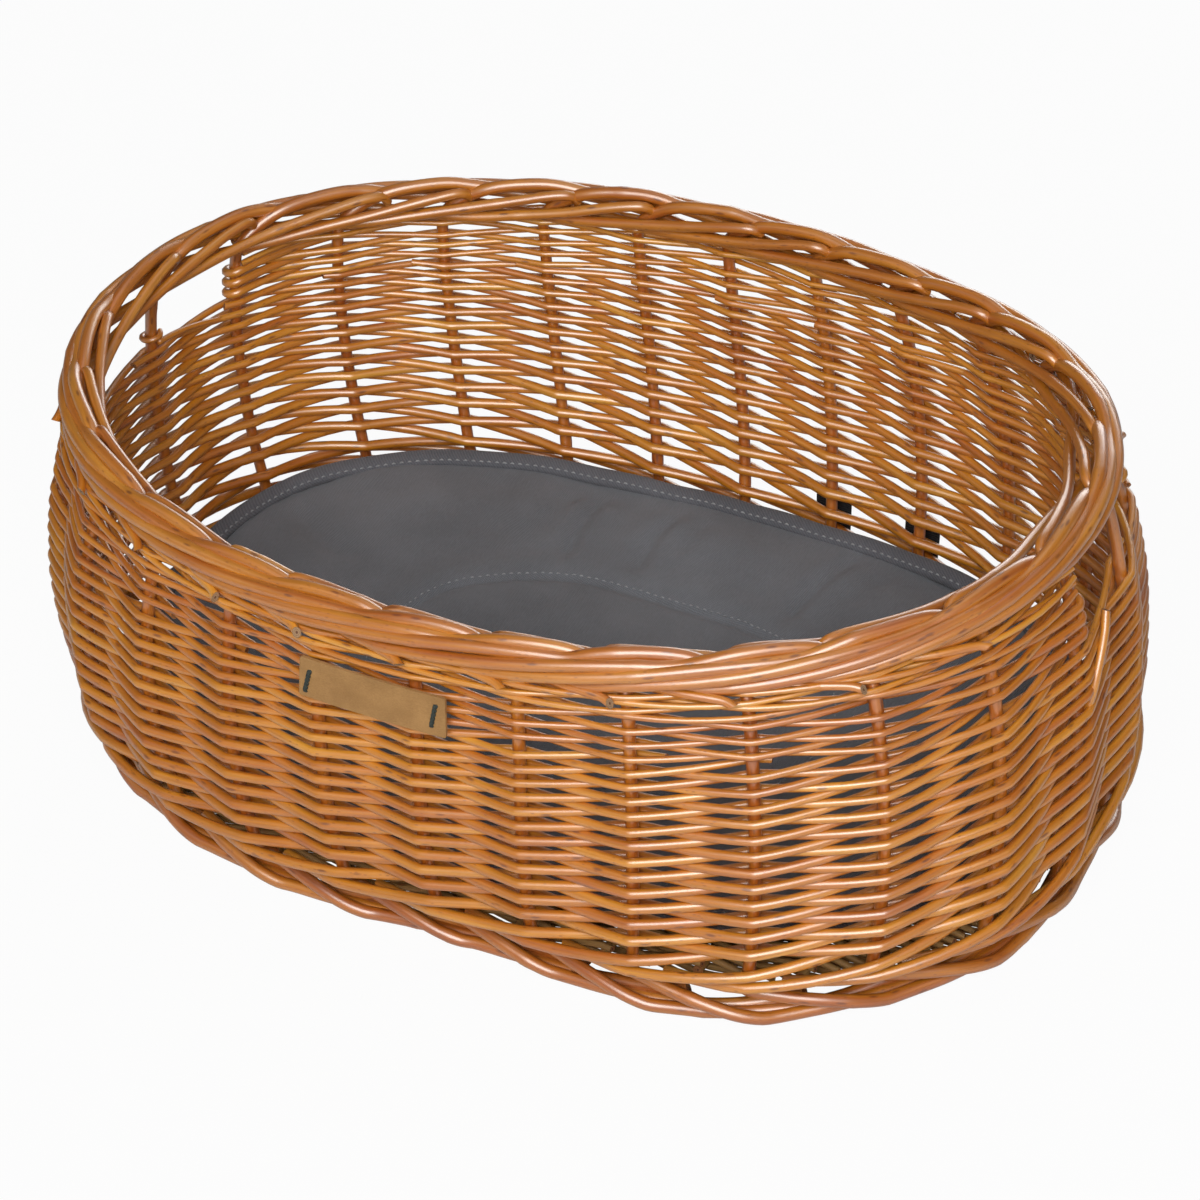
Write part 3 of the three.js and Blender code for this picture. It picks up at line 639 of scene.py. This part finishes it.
# Rows beside the handle holes, woven forth and back round the stakes at the holes' edges. The rod
# is thicker where it turns round the last of them.
def packing(name, node, first, last, seed):
    rng = np.random.default_rng(seed)
    seat = (STAKE_DIAMETER + PACKING_DIAMETER) / 2 + 0.1
    points, places = [], []
    for row in range(PACKING_ROWS):
        height = PACKING_BOTTOM + PACKING_PITCH * row
        start, end, step = (first, last, 1) if row % 2 == 0 else (last, first, -1)
        side = lambda stake: 1 if (stake + row) % 2 == 0 else -1
        for stake in range(start, end, step):
            out = sway(ROD_STEPS, side(stake) * seat, side(stake + step) * seat)
            lift = rng.normal(0, 0.2)
            point, _, _ = wall(stake + step * ROD_STEPS, height + lift * np.sin(np.pi * ROD_STEPS), out)
            points.append(point)
            places.append(stake + step * ROD_STEPS)
        climb = np.linspace(0, 1, 9)
        turn = side(end) * np.pi * (0.5 - climb)
        point, _, along = wall(end, height + PACKING_PITCH * climb, seat * np.sin(turn))
        if row < PACKING_ROWS - 1:
            points.append((point + step * seat * np.cos(turn)[:, None] * along)[:-1])
            places.append(np.full(8, end))
    thick = np.exp(-((np.concatenate(places) - last) / 0.9) ** 2)
    radii = PACKING_DIAMETER / 2 + 0.7 * thick
    piece = rod(name, np.concatenate(points), radii, WEAVER, seed, sides=8)
    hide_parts(node)


# First and last stake between the handle holes, on the front and on the back
SIDES = [("front", LEFT_HANDLE_STAKE + 1, STAKES + RIGHT_HANDLE_STAKE - 1),
         ("back", RIGHT_HANDLE_STAKE + 1, LEFT_HANDLE_STAKE - 1)]
for number, (side_name, first, last) in enumerate(SIDES):
    packing(f"packing_rod_{side_name}", f"packing_{side_name}", first, last, 61 + number)


# End of a rod wound once round the bare stake in the left handle hole, and the line that leads to
# it: spaces before the stake, and height
WOUND_DIAMETER = 3.2
WOUND_LEAD = [(0.75, 150), (0.5, 154.5), (0.25, 158)]


def wound_end():
    turn = np.radians(np.linspace(-100, 330, 40))
    reach = (STAKE_DIAMETER + WOUND_DIAMETER) / 2 + 0.1
    ring, _, along = wall(LEFT_HANDLE_STAKE, np.linspace(160, 164, 40), reach * np.sin(turn))
    ring = ring + reach * np.cos(turn)[:, None] * -along
    before, heights = np.array(WOUND_LEAD).T
    lead, _, _ = wall(LEFT_HANDLE_STAKE - before, heights, -5.0)
    line = respaced(rounded(np.concatenate([lead, ring]), 2), 1.5)
    piece = rod("wound_end", line, WOUND_DIAMETER / 2, WEAVER, 71, sides=8, knobs=False)


# Spare rod pushed in beside the stake at the right handle hole's edge: place, height and distance
# from the wall's middle
SPARE_DIAMETER = 4.2
SPARE_LINE = [
    (0.4, 156, 5.0), (0.33, 150, 6.0), (0.23, 143, 6.6), (0.15, 137, 6.6),
    (0.09, 130, 6.2), (0.06, 124, 5.2), (0.05, 118, 3.2), (0.05, 112, 0),
]


def spare_rod():
    line, _, _ = wall(*np.array(SPARE_LINE).T)
    line = respaced(rounded(line), 3)
    piece = rod("spare_rod", line, SPARE_DIAMETER / 2, WEAVER, 72, knobs=False)


wound_end()
spare_rod()


# Strand under the rim, behind one stake and in front of the next ones. The strand above it goes
# behind the stake before.
def wale_strand(name, first, last, level, seed):
    rng = np.random.default_rng(seed)
    seat = (STAKE_DIAMETER + WALE_DIAMETER) / 2 + 0.1
    side = lambda stake: -1 if (stake + level) % WALE_PERIOD == 0 else 1
    points = []
    for stake in range(first, last):
        out = sway(ROD_STEPS, side(stake) * seat, side(stake + 1) * seat)
        drop = rng.normal(0, 0.3)
        height = WALE_BOTTOM + WALE_PITCH * level + drop * np.sin(np.pi * ROD_STEPS)
        points.append(wall(stake + ROD_STEPS, height, out)[0])
    tone = rng.uniform(0.52, 0.72)
    piece = rod(name, np.concatenate(points), WALE_DIAMETER / 2, WEAVER, seed, sides=8, tone=tone)


# Short cut ends that stick out under the rim, one at each stake: spaces from the stake, rise, and
# distance from the wall's middle
BUTT_LINE = [(-0.75, 2.4, 0), (-0.5, 2.0, 4), (-0.3, 1.6, 6), (-0.16, 0.8, 7.4), (-0.09, -0.4, 9.6)]
BUTT_LEVEL = 4.2


def butt_end(name, stake, seed):
    rng = np.random.default_rng(seed)
    spaces, rise, out = np.array(BUTT_LINE).T
    spaces = spaces + rng.uniform(-0.05, 0.05)
    point, _, _ = wall(stake + spaces, WALE_BOTTOM + BUTT_LEVEL * WALE_PITCH + rise, out)
    line = respaced(rounded(point), 2.0)
    piece = rod(name, line, BUTT_DIAMETER / 2, WEAVER, seed, slant=0.8, knobs=False, ends=BUTT)


for number, (side_name, first, last) in enumerate(SIDES):
    for strand in range(WALE_STRANDS):
        wale_strand(f"wale_{side_name}_{strand + 1}", first, last, strand, 200 + 10 * number + strand)
    for stake in range(first, last):
        butt_end(f"butt_{side_name}_{two_digits(stake - first + 1)}", stake, 300 + 20 * number + stake)


# Base

# Half length of a base rod at a distance from the base's middle line
def base_reach(across, half, other_half, squareness):
    return half * max(0.0, 1 - abs(across / other_half) ** squareness) ** (1 / squareness)


def make_base():
    level = BASE_STICK_HEIGHT / RIM_HEIGHT
    half_length, half_width, squareness = (float(mix3(level, *sizes)) for sizes in zip(*PLANS))
    half_length -= BASE_INSET
    half_width -= BASE_INSET
    cross = (np.arange(BASE_CROSS_STICKS) - (BASE_CROSS_STICKS - 1) / 2) * BASE_CROSS_PITCH
    for i, x in enumerate(cross):
        y = base_reach(x, half_width, half_length, squareness)
        line = [(x, v, BASE_STICK_HEIGHT) for v in np.linspace(-y, y, 40)]
        rod(f"base_cross_{i + 1}", line, BASE_STICK / 2, BASE, 400 + i)
    for i in range(BASE_LONG_STICKS):
        y = (i - (BASE_LONG_STICKS - 1) / 2) * BASE_LONG_PITCH
        x = base_reach(y, half_length, half_width, squareness)
        line = [(v, y, BASE_STICK_HEIGHT) for v in np.linspace(-x, x, 60)]
        rod(f"base_long_{i + 1}", line, BASE_STICK / 2 - 0.1, BASE, 420 + i)
    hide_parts("base_sticks")
    seat = (BASE_STICK + BASE_WEAVER) / 2
    count = int(2 * (half_width - 3) / BASE_ROW_PITCH)
    for i in range(count):
        y = (i - (count - 1) / 2) * BASE_ROW_PITCH
        reach = base_reach(y, half_length, half_width, squareness)
        if reach < BASE_SHORTEST:
            continue
        x = np.linspace(-reach, reach, int(reach / 2.6))
        phase = np.pi * (x - cross[0]) / BASE_CROSS_PITCH + np.pi * (i % 2)
        swing = bent_wave(phase, BASE_BEND)
        swing = np.where(np.abs(x) > cross[-1] + 0.5 * BASE_CROSS_PITCH, 0.6 * swing, swing)
        line = np.stack([x, np.full_like(x, y), BASE_STICK_HEIGHT + seat * swing], axis=1)
        rod(f"base_rod_{i + 1}", line, BASE_WEAVER / 2, BASE, 700 + i, sides=6, knobs=False)
    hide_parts("base_panel")


make_base()


# Mesh from rings of points, open at the first and the last ring
def ring_mesh(name, rows):
    rows = np.asarray(rows, float)
    count, across = rows.shape[:2]
    faces = []
    for i in range(count - 1):
        for j in range(across):
            k = (j + 1) % across
            faces.append((i * across + j, i * across + k, (i + 1) * across + k, (i + 1) * across + j))
    mesh = bpy.data.meshes.new(name)
    mesh.from_pydata((MM * rows.reshape(-1, 3)).tolist(), [], faces)
    mesh.polygons.foreach_set("use_smooth", np.ones(len(faces), bool))
    return mesh


# Makes a piece the one that the next operator works on
def activate(piece):
    bpy.ops.object.select_all(action="DESELECT")
    piece.select_set(True)
    bpy.context.view_layer.objects.active = piece


# Cushion

# Shares of the way out to an oval: 1 on it
def oval_share(x, y, half, squareness):
    return (np.abs(x / half[0]) ** squareness + np.abs(y / half[1]) ** squareness) ** (1 / squareness)


# Rings of the pad from the middle of its underside round its edge to the middle of its top
def cushion_rings():
    low = CUSHION_BOTTOM + 0.8
    rings = [(0.02, low), (0.3, low), (0.62, low), (0.82, low + 0.2), (0.93, low + 2.2), (0.985, low + 6)]
    rings += [(0.99, EDGE_TOP - 2.2), (0.965, EDGE_TOP - 0.8), (0.9, EDGE_TOP - 1.8), (0.8, EDGE_TOP - 3.6)]
    rings += [(0.7, EDGE_TOP - 5.6), (0.6, SEAM_TOP + 1.4), (0.5, SEAM_TOP), (0.42, SEAM_TOP + 0.8)]
    return rings + [(0.25, SEAM_TOP + 2.6), (0.02, SEAM_TOP + 3.2)]


def make_pad():
    turn = turn_at(np.arange(160) / 160, TABLES[0])
    half_length, half_width = (side - PAD_INSET for side in CUSHION_HALF)
    x, y = oval(half_length, half_width, CUSHION_SQUARENESS, turn)
    rows = [np.stack([x * s, y * s, np.full_like(x, z)], axis=1) for s, z in cushion_rings()]
    mesh = ring_mesh("cushion_pad_cover", rows)
    pad = link("cushion_cover", mesh, CLOTH)
    activate(pad)
    cap = bmesh.new()
    cap.from_mesh(mesh)
    bmesh.ops.holes_fill(cap, edges=cap.edges)
    bmesh.ops.recalc_face_normals(cap, faces=cap.faces)
    cap.to_mesh(mesh)
    cap.free()
    remesh = pad.modifiers.new("even", "REMESH")
    remesh.mode = "VOXEL"
    remesh.voxel_size = MM * PAD_MESH_SIZE
    bpy.ops.object.modifier_apply(modifier="even")
    inflate(pad)
    finish_pad(pad)
    return pad


# Swells the pad with the air pressure of a cloth simulation, and by no more than LARGEST_SWELL. The
# binding holds its edge: the pad moves less and less from INNER_SHARE of the way out to HELD_SHARE.
CLOTH_PRESSURE = 4.0
CLOTH_STEPS = 20
LARGEST_SWELL = 3
INNER_SHARE = 0.81
HELD_SHARE = 0.93


def inflate(pad):
    before = np.array([v.co for v in pad.data.vertices])
    half = [(side - PAD_INSET) * MM for side in CUSHION_HALF]
    share = oval_share(before[:, 0], before[:, 1], half, CUSHION_SQUARENESS)
    free = np.clip((HELD_SHARE - share) / (HELD_SHARE - INNER_SHARE), 0, 1)
    cloth = pad.modifiers.new("cloth", "CLOTH")
    cloth.settings.use_pressure = True
    cloth.settings.uniform_pressure_force = CLOTH_PRESSURE
    cloth.settings.effector_weights.gravity = 0.0
    cloth.settings.quality = 5
    cloth.collision_settings.use_collision = False
    for step in range(1, CLOTH_STEPS + 1):
        bpy.context.scene.frame_set(step)
    bpy.ops.object.modifier_apply(modifier="cloth")
    bpy.context.scene.frame_set(1)
    after = np.array([v.co for v in pad.data.vertices])
    move = after - before
    length = np.linalg.norm(move, axis=1, keepdims=True)
    move *= np.minimum(1.0, MM * LARGEST_SWELL / np.maximum(length, 1e-9)) * free[:, None]
    pad.data.vertices.foreach_set("co", (before + move).ravel())


# Creases between the hem and the seam: both ends, width and depth
CREASE_SOFTNESS = 1.5
CREASE_STRENGTH = 1.4
CREASES = [
    ((-73, 140), (-66, 84), 2.6, 2.2), ((-28, 140), (-28, 90), 2.8, 2.0),
    ((-88, 138), (-86, 100), 4.5, 1.2), ((-8, 142), (-10, 113), 3.6, 1.0),
    ((76, 146), (63, 80), 2.4, 1.9), ((96, 136), (91, 108), 4.5, 0.8),
    ((-138, 134), (-108, 86), 6, 0.9), ((-222, 62), (-168, 38), 5, 1.2),
    ((-226, -50), (-160, -34), 4, 1.6), ((-150, -130), (-118, -80), 3.4, 1.8),
    ((-60, -142), (-52, -84), 3, 1.9), ((20, -142), (12, -86), 4, 1.2),
    ((96, -136), (74, -82), 2.8, 2.0), ((182, -104), (128, -60), 4, 1.4),
    ((228, 20), (146, 12), 3.2, 1.8), ((196, 92), (140, 58), 3, 1.5),
]
SEAM_DEPTH = 2.4
PUCKER_DEPTH = 0.8
ROLL_HEIGHT = 1.3
UNEVEN_HEIGHT = 1.3


# Height that the seam, its pucker, the roll outside it, the creases and the filling's unevenness add
# to the top of the pad
def pad_relief(x, y):
    panel = oval_share(x, y, PANEL_HALF, PANEL_SQUARENESS)
    reach = np.hypot(x, y)
    from_seam = (panel - 1) * reach / np.maximum(panel, 0.2)
    angle = np.arctan2(y, x)
    pucker = 0.6 + 0.4 * np.sin(angle * 47) * np.sin(angle * 13 + 1)
    relief = -SEAM_DEPTH * np.exp(-(from_seam / 2.4) ** 2)
    relief -= PUCKER_DEPTH * pucker * np.exp(-((np.abs(from_seam) - 5) / 4.5) ** 2)
    relief += ROLL_HEIGHT * np.exp(-((from_seam - 13) / 10) ** 2) * (from_seam > 0)
    for start, end, width, depth in CREASES:
        width, depth = CREASE_SOFTNESS * width, CREASE_STRENGTH * depth
        (ax, ay), (bx, by) = start, end
        length = math.hypot(bx - ax, by - ay)
        along = ((x - ax) * (bx - ax) + (y - ay) * (by - ay)) / length ** 2
        across = ((y - ay) * (bx - ax) - (x - ax) * (by - ay)) / length + 2.5 * np.sin(3 * along)
        fade = np.clip(np.minimum(along, 1 - along) / 0.22 + 0.25, 0, 1)
        valley = np.exp(-(across / width) ** 2)
        flank = np.exp(-((np.abs(across) - 2.6 * width) / (1.5 * width)) ** 2)
        relief -= depth * fade * (valley - 0.4 * flank)
    uneven = np.sin(x / 31 + 1) * np.sin(y / 23 + 2) + 0.6 * np.sin((x + y) / 17)
    return relief + UNEVEN_HEIGHT * uneven


def finish_pad(pad):
    subdivide = pad.modifiers.new("fine", "SUBSURF")
    subdivide.levels = 1
    activate(pad)
    bpy.ops.object.modifier_apply(modifier="fine")
    points = np.array([v.co for v in pad.data.vertices]) / MM
    normals = np.array([v.normal for v in pad.data.vertices])
    upper = np.clip((normals[:, 2] - 0.2) / 0.5, 0, 1)
    points[:, 2] += upper * pad_relief(points[:, 0], points[:, 1])
    points[:, 2] = np.maximum(points[:, 2], CUSHION_BOTTOM)
    pad.data.vertices.foreach_set("co", (MM * points).ravel())
    pad.data.polygons.foreach_set("use_smooth", np.ones(len(pad.data.polygons), bool))
    pad.data.update()
    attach(pad, "cushion")
    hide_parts("cushion_pad")


pad = make_pad()


# Twill tape folded over the edge of the cushion. The corners of its section are given by how far
# they lie outside its middle line and above it.
TAPE_INSET = 2.6
TAPE_RISE = 1.6
TAPE_SECTION = [
    (-6.4, -2.4), (-6.0, -0.6), (-3.0, 1.2), (0.4, 2.2), (2.6, 1.7),
    (3.2, 0), (3.2, -4), (2.4, -8), (-1.0, -8.6), (-5.0, -5.4),
]


def make_binding():
    turn = turn_at(np.arange(420) / 420, TABLES[0])
    half_length, half_width = (side - TAPE_INSET for side in CUSHION_HALF)
    x, y = oval(half_length, half_width, CUSHION_SQUARENESS, turn)
    middle = np.stack([x, y], axis=1)
    along = np.roll(middle, -1, axis=0) - np.roll(middle, 1, axis=0)
    along /= np.linalg.norm(along, axis=1, keepdims=True)
    out = np.stack([along[:, 1], -along[:, 0]], axis=1)
    angle = np.degrees(np.arctan2(y, x))
    wave = 0.5 * np.sin(np.radians(angle) * 9) + 0.35 * np.sin(np.radians(angle) * 23 + 1)
    rows = []
    for across, rise in TAPE_SECTION:
        rows.append(np.column_stack([middle + across * out, EDGE_TOP + TAPE_RISE + rise + wave]))
    rows.append(rows[0])
    mesh = ring_mesh("cushion_tape", rows)
    merged = bmesh.new()
    merged.from_mesh(mesh)
    bmesh.ops.remove_doubles(merged, verts=merged.verts, dist=1e-6)
    bmesh.ops.recalc_face_normals(merged, faces=merged.faces)
    merged.to_mesh(mesh)
    merged.free()
    tape = link("cushion_tape", mesh, TAPE)
    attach(tape, "cushion")
    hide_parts("cushion_binding")
    return tape


tape = make_binding()


# Stitches. Each is a short arch of a thread: its length, the gap to the next and its thickness.
SEAM_STITCH = (2.2, 2.0, 0.9)
HEM_STITCH = (2.4, 2.0, 1.0)
SEAM_OFFSET = 3.4
HEM_INSET = 7.6
STITCH_SIDES = 6
STITCH_RINGS = 5
ABOVE_CUSHION = 0.2


# Tree that finds where a line hits a piece
def hit_tree(piece):
    mesh = piece.data
    return BVHTree.FromPolygons([v.co for v in mesh.vertices], [p.vertices for p in mesh.polygons])


# Short stitches that lie on top of some pieces along a closed line seen from above
def stitches(name, base, x, y, length, gap, thickness):
    trees = [hit_tree(piece) for piece in base]
    middle = np.stack([x, y], axis=1)
    steps = np.concatenate([[0], np.cumsum(np.linalg.norm(np.diff(middle, axis=0), axis=1))])
    sides, rings = STITCH_SIDES, STITCH_RINGS
    vertices, faces, local = [], [], []
    for start in np.arange(0, steps[-1] - length, length + gap):
        at = start + np.linspace(0, length, rings)
        px, py = np.interp(at, steps, middle[:, 0]), np.interp(at, steps, middle[:, 1])
        hits = []
        for a, b in zip(px, py):
            source = Vector((a * MM, b * MM, ABOVE_CUSHION))
            found = [tree.ray_cast(source, Vector((0, 0, -1)))[0] for tree in trees]
            hits.append(max((hit.z for hit in found if hit is not None), default=None))
        if None in hits:
            continue
        arch = np.sin(np.linspace(0, np.pi, rings))
        line = np.stack([px, py, np.array(hits) / MM + (arch - 0.35) * thickness * 0.55], axis=1)
        radii = thickness / 2 * (0.45 + 0.55 * arch)
        tangent = np.gradient(line, axis=0)
        tangent /= np.linalg.norm(tangent, axis=1, keepdims=True)
        right = np.cross(tangent, UP)
        right /= np.linalg.norm(right, axis=1, keepdims=True)
        above = np.cross(right, tangent)
        first = len(vertices)
        for i in range(rings):
            for side in range(sides):
                turn = 2 * np.pi * side / sides
                cross = math.cos(turn) * right[i] + math.sin(turn) * above[i]
                vertices.append(MM * (line[i] + radii[i] * cross))
                local.append((MM * radii[i] * math.cos(turn), MM * radii[i] * math.sin(turn), MM * at[i]))
        for i in range(rings - 1):
            for side in range(sides):
                a, b = first + i * sides + side, first + i * sides + (side + 1) % sides
                faces.append((a, b, b + sides, a + sides))
        faces.append(tuple(first + side for side in reversed(range(sides))))
        faces.append(tuple(first + (rings - 1) * sides + side for side in range(sides)))
    mesh = bpy.data.meshes.new(name)
    mesh.from_pydata(vertices, [], faces)
    mesh.polygons.foreach_set("use_smooth", np.ones(len(faces), bool))
    place = mesh.attributes.new("rod", "FLOAT_VECTOR", "POINT")
    place.data.foreach_set("vector", np.array(local).ravel())
    piece = link(name, mesh, STITCH)
    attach(piece, "cushion")


turns = np.linspace(0, 2 * np.pi, 1400)
seam_half = [side + SEAM_OFFSET for side in PANEL_HALF]
stitches("seam_stitches", [pad], *oval(*seam_half, PANEL_SQUARENESS, turns), *SEAM_STITCH)
hem_half = [side - HEM_INSET for side in CUSHION_HALF]
stitches("hem_stitches", [pad, tape], *oval(*hem_half, CUSHION_SQUARENESS, turns), *HEM_STITCH)


# Tag and tabs

# Width of the space between two stakes at a place of the wall
def space_width(place, height):
    return np.linalg.norm(wall(place + 0.5, height)[0] - wall(place - 0.5, height)[0])


# Strip that follows the outside of the wall, with rounded corners and edges
def wall_strip(name, place, height, size, offset, thickness, corner, look):
    spacing = space_width(place, height)
    width, tall = size
    outline = []
    for cx, cy, start in ((1, 1, 0), (-1, 1, 90), (-1, -1, 180), (1, -1, 270)):
        for step in range(6):
            turn = math.radians(start + 18 * step)
            outline.append((cx * (width / 2 - corner) + corner * math.cos(turn),
                            cy * (tall / 2 - corner) + corner * math.sin(turn)))
    shape = bmesh.new()
    ring = [shape.verts.new((a, b, 0)) for a, b in outline]
    face = shape.faces.new(ring)
    bmesh.ops.triangulate(shape, faces=[face])
    bmesh.ops.subdivide_edges(shape, edges=shape.edges, cuts=3, use_grid_fill=True)
    bmesh.ops.solidify(shape, geom=shape.faces, thickness=-thickness)
    bmesh.ops.recalc_face_normals(shape, faces=shape.faces)
    for vertex in shape.verts:
        a, b, c = vertex.co
        point, _, _ = wall(place + a / spacing, height + b, offset + abs(c))
        vertex.co = Vector(MM * point)
    mesh = bpy.data.meshes.new(name)
    shape.to_mesh(mesh)
    shape.free()
    piece = link(name, mesh, look)
    bevel = piece.modifiers.new("edge", "BEVEL")
    bevel.width = MM * STRIP_BEVEL
    bevel.segments = 2
    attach(piece, "basket")
    return piece


# Place on the front side of the wall with a given x
def front_place(x, height):
    places = np.linspace(LEFT_HANDLE_STAKE + 1, STAKES, 2000)
    return float(np.interp(x, wall(places, height)[0][:, 0], places))


tag_place = front_place(TAG_CENTRE_X, TAG_HEIGHT)
tag = wall_strip("tag_strip", tag_place, TAG_HEIGHT, TAG_SIZE, *TAG_SHAPE, LEATHER)
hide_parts("tag")


# Two twisted threads sewn down through each end of the tag: the end's side, and the threads' place
# along the tag and height, from its middle
THREAD_DIAMETER = 1.5
THREAD_REACH = 6.8
THREAD_OUT = 9.9
TAG_STITCHES = [("left", -34.4, -1.9), ("right", 32.8, 0)]


def tag_stitch(name, along, rise, seed):
    spacing = space_width(tag_place, TAG_HEIGHT)
    for strand in range(2):
        points = []
        for step in np.linspace(-1, 1, 50):
            twist = 9 * step + math.pi * strand
            place = tag_place + (along - 1.3 * step + 0.5 * math.sin(twist)) / spacing
            out = THREAD_OUT + 0.4 * math.cos(twist) - 2.2 * step ** 12
            points.append(wall(place, TAG_HEIGHT + rise - THREAD_REACH * step, out)[0])
        label = f"{name}_{strand + 1}"
        piece = rod(label, points, THREAD_DIAMETER / 2, THREAD, seed + strand, sides=8, slant=0, knobs=False)


for number, (side_name, along, rise) in enumerate(TAG_STITCHES):
    tag_stitch(f"tag_stitch_{side_name}", along, rise, 801 + 2 * number)

for i, place in enumerate(TAB_PLACES):
    tab = wall_strip(f"tab_{i + 1}", place, TAB_HEIGHT, TAB_SIZE, *TAB_SHAPE, WEBBING)
    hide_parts(f"webbing_tab_{i + 1}")


# Floor, backdrop and light

# Half of the floor's side in metres, the share of plain white in what the camera sees of it, and the
# light that comes from all round
FLOOR_HALF = 6
FLOOR_WHITE = 0.95
LIGHT_AROUND = 0.055

# Lamps turned to the basket: name, place and sides in metres, and power
LAMP_TARGET = (0, 0, 0.1)
LAMPS = [
    ("key", (1.0, -2.2, 2.0), (2.0, 2.0), 101),
    ("top", (0.1, 0.8, 2.6), (1.6, 1.6), 5),
    ("right", (2.3, -0.2, 1.2), (1.4, 1.4), 1.4),
    ("back", (-0.4, 2.5, 0.7), (1.6, 0.9), 22),
    ("left", (-1.9, -1.3, 1.3), (1.4, 1.4), 2.2),
]


def make_floor():
    mesh = bpy.data.meshes.new("floor")
    corners = [(FLOOR_HALF * x, FLOOR_HALF * y, 0) for x, y in ((-1, -1), (1, -1), (1, 1), (-1, 1))]
    mesh.from_pydata(corners, [], [(0, 1, 2, 3)])
    n = Nodes("floor_paper")
    speck = n.noise(n.scaled(n.object_place(), (40, 40, 40)), 4.0)
    n.shade(Base_Color=n.ramp(speck, [(0.3, (0.6, 0.6, 0.6)), (0.7, (0.64, 0.64, 0.64))]), Roughness=0.9)
    n.shade(Specular_IOR_Level=0.0, Normal=n.bump(speck, 0.0002, 0.3))
    white = n.add("ShaderNodeEmission", {"Color": (1, 1, 1, 1), "Strength": 1.0})
    path = n.add("ShaderNodeLightPath")
    seen = n.math("MULTIPLY", path.outputs["Is Camera Ray"], FLOOR_WHITE)
    mixed = n.add("ShaderNodeMixShader", {0: seen, 1: n.shader.outputs[0], 2: white.outputs[0]})
    n.tree.links.new(mixed.outputs[0], n.tree.nodes["Material Output"].inputs["Surface"])
    link("floor", mesh, n.material)


def make_world():
    world = bpy.data.worlds.new("studio")
    bpy.context.scene.world = world
    world.use_nodes = True
    nodes, links = world.node_tree.nodes, world.node_tree.links
    background = nodes["Background"]
    background.inputs["Color"].default_value = (1, 1, 1, 1)
    path = nodes.new("ShaderNodeLightPath")
    seen = nodes.new("ShaderNodeMapRange")
    seen.inputs["To Min"].default_value = LIGHT_AROUND
    seen.inputs["To Max"].default_value = 1.0
    links.new(path.outputs["Is Camera Ray"], seen.inputs["Value"])
    links.new(seen.outputs["Result"], background.inputs["Strength"])


def lamp(name, place, size, power):
    light = bpy.data.lights.new(name, "AREA")
    light.shape = "RECTANGLE"
    light.size, light.size_y = size
    light.energy = power
    obj = bpy.data.objects.new(name, light)
    obj.location = place
    obj.rotation_euler = (Vector(LAMP_TARGET) - Vector(place)).to_track_quat("-Z", "Y").to_euler()
    bpy.context.scene.collection.objects.link(obj)


make_floor()
make_world()
for row in LAMPS:
    lamp(*row)
bpy.context.scene.view_settings.view_transform = "Standard"
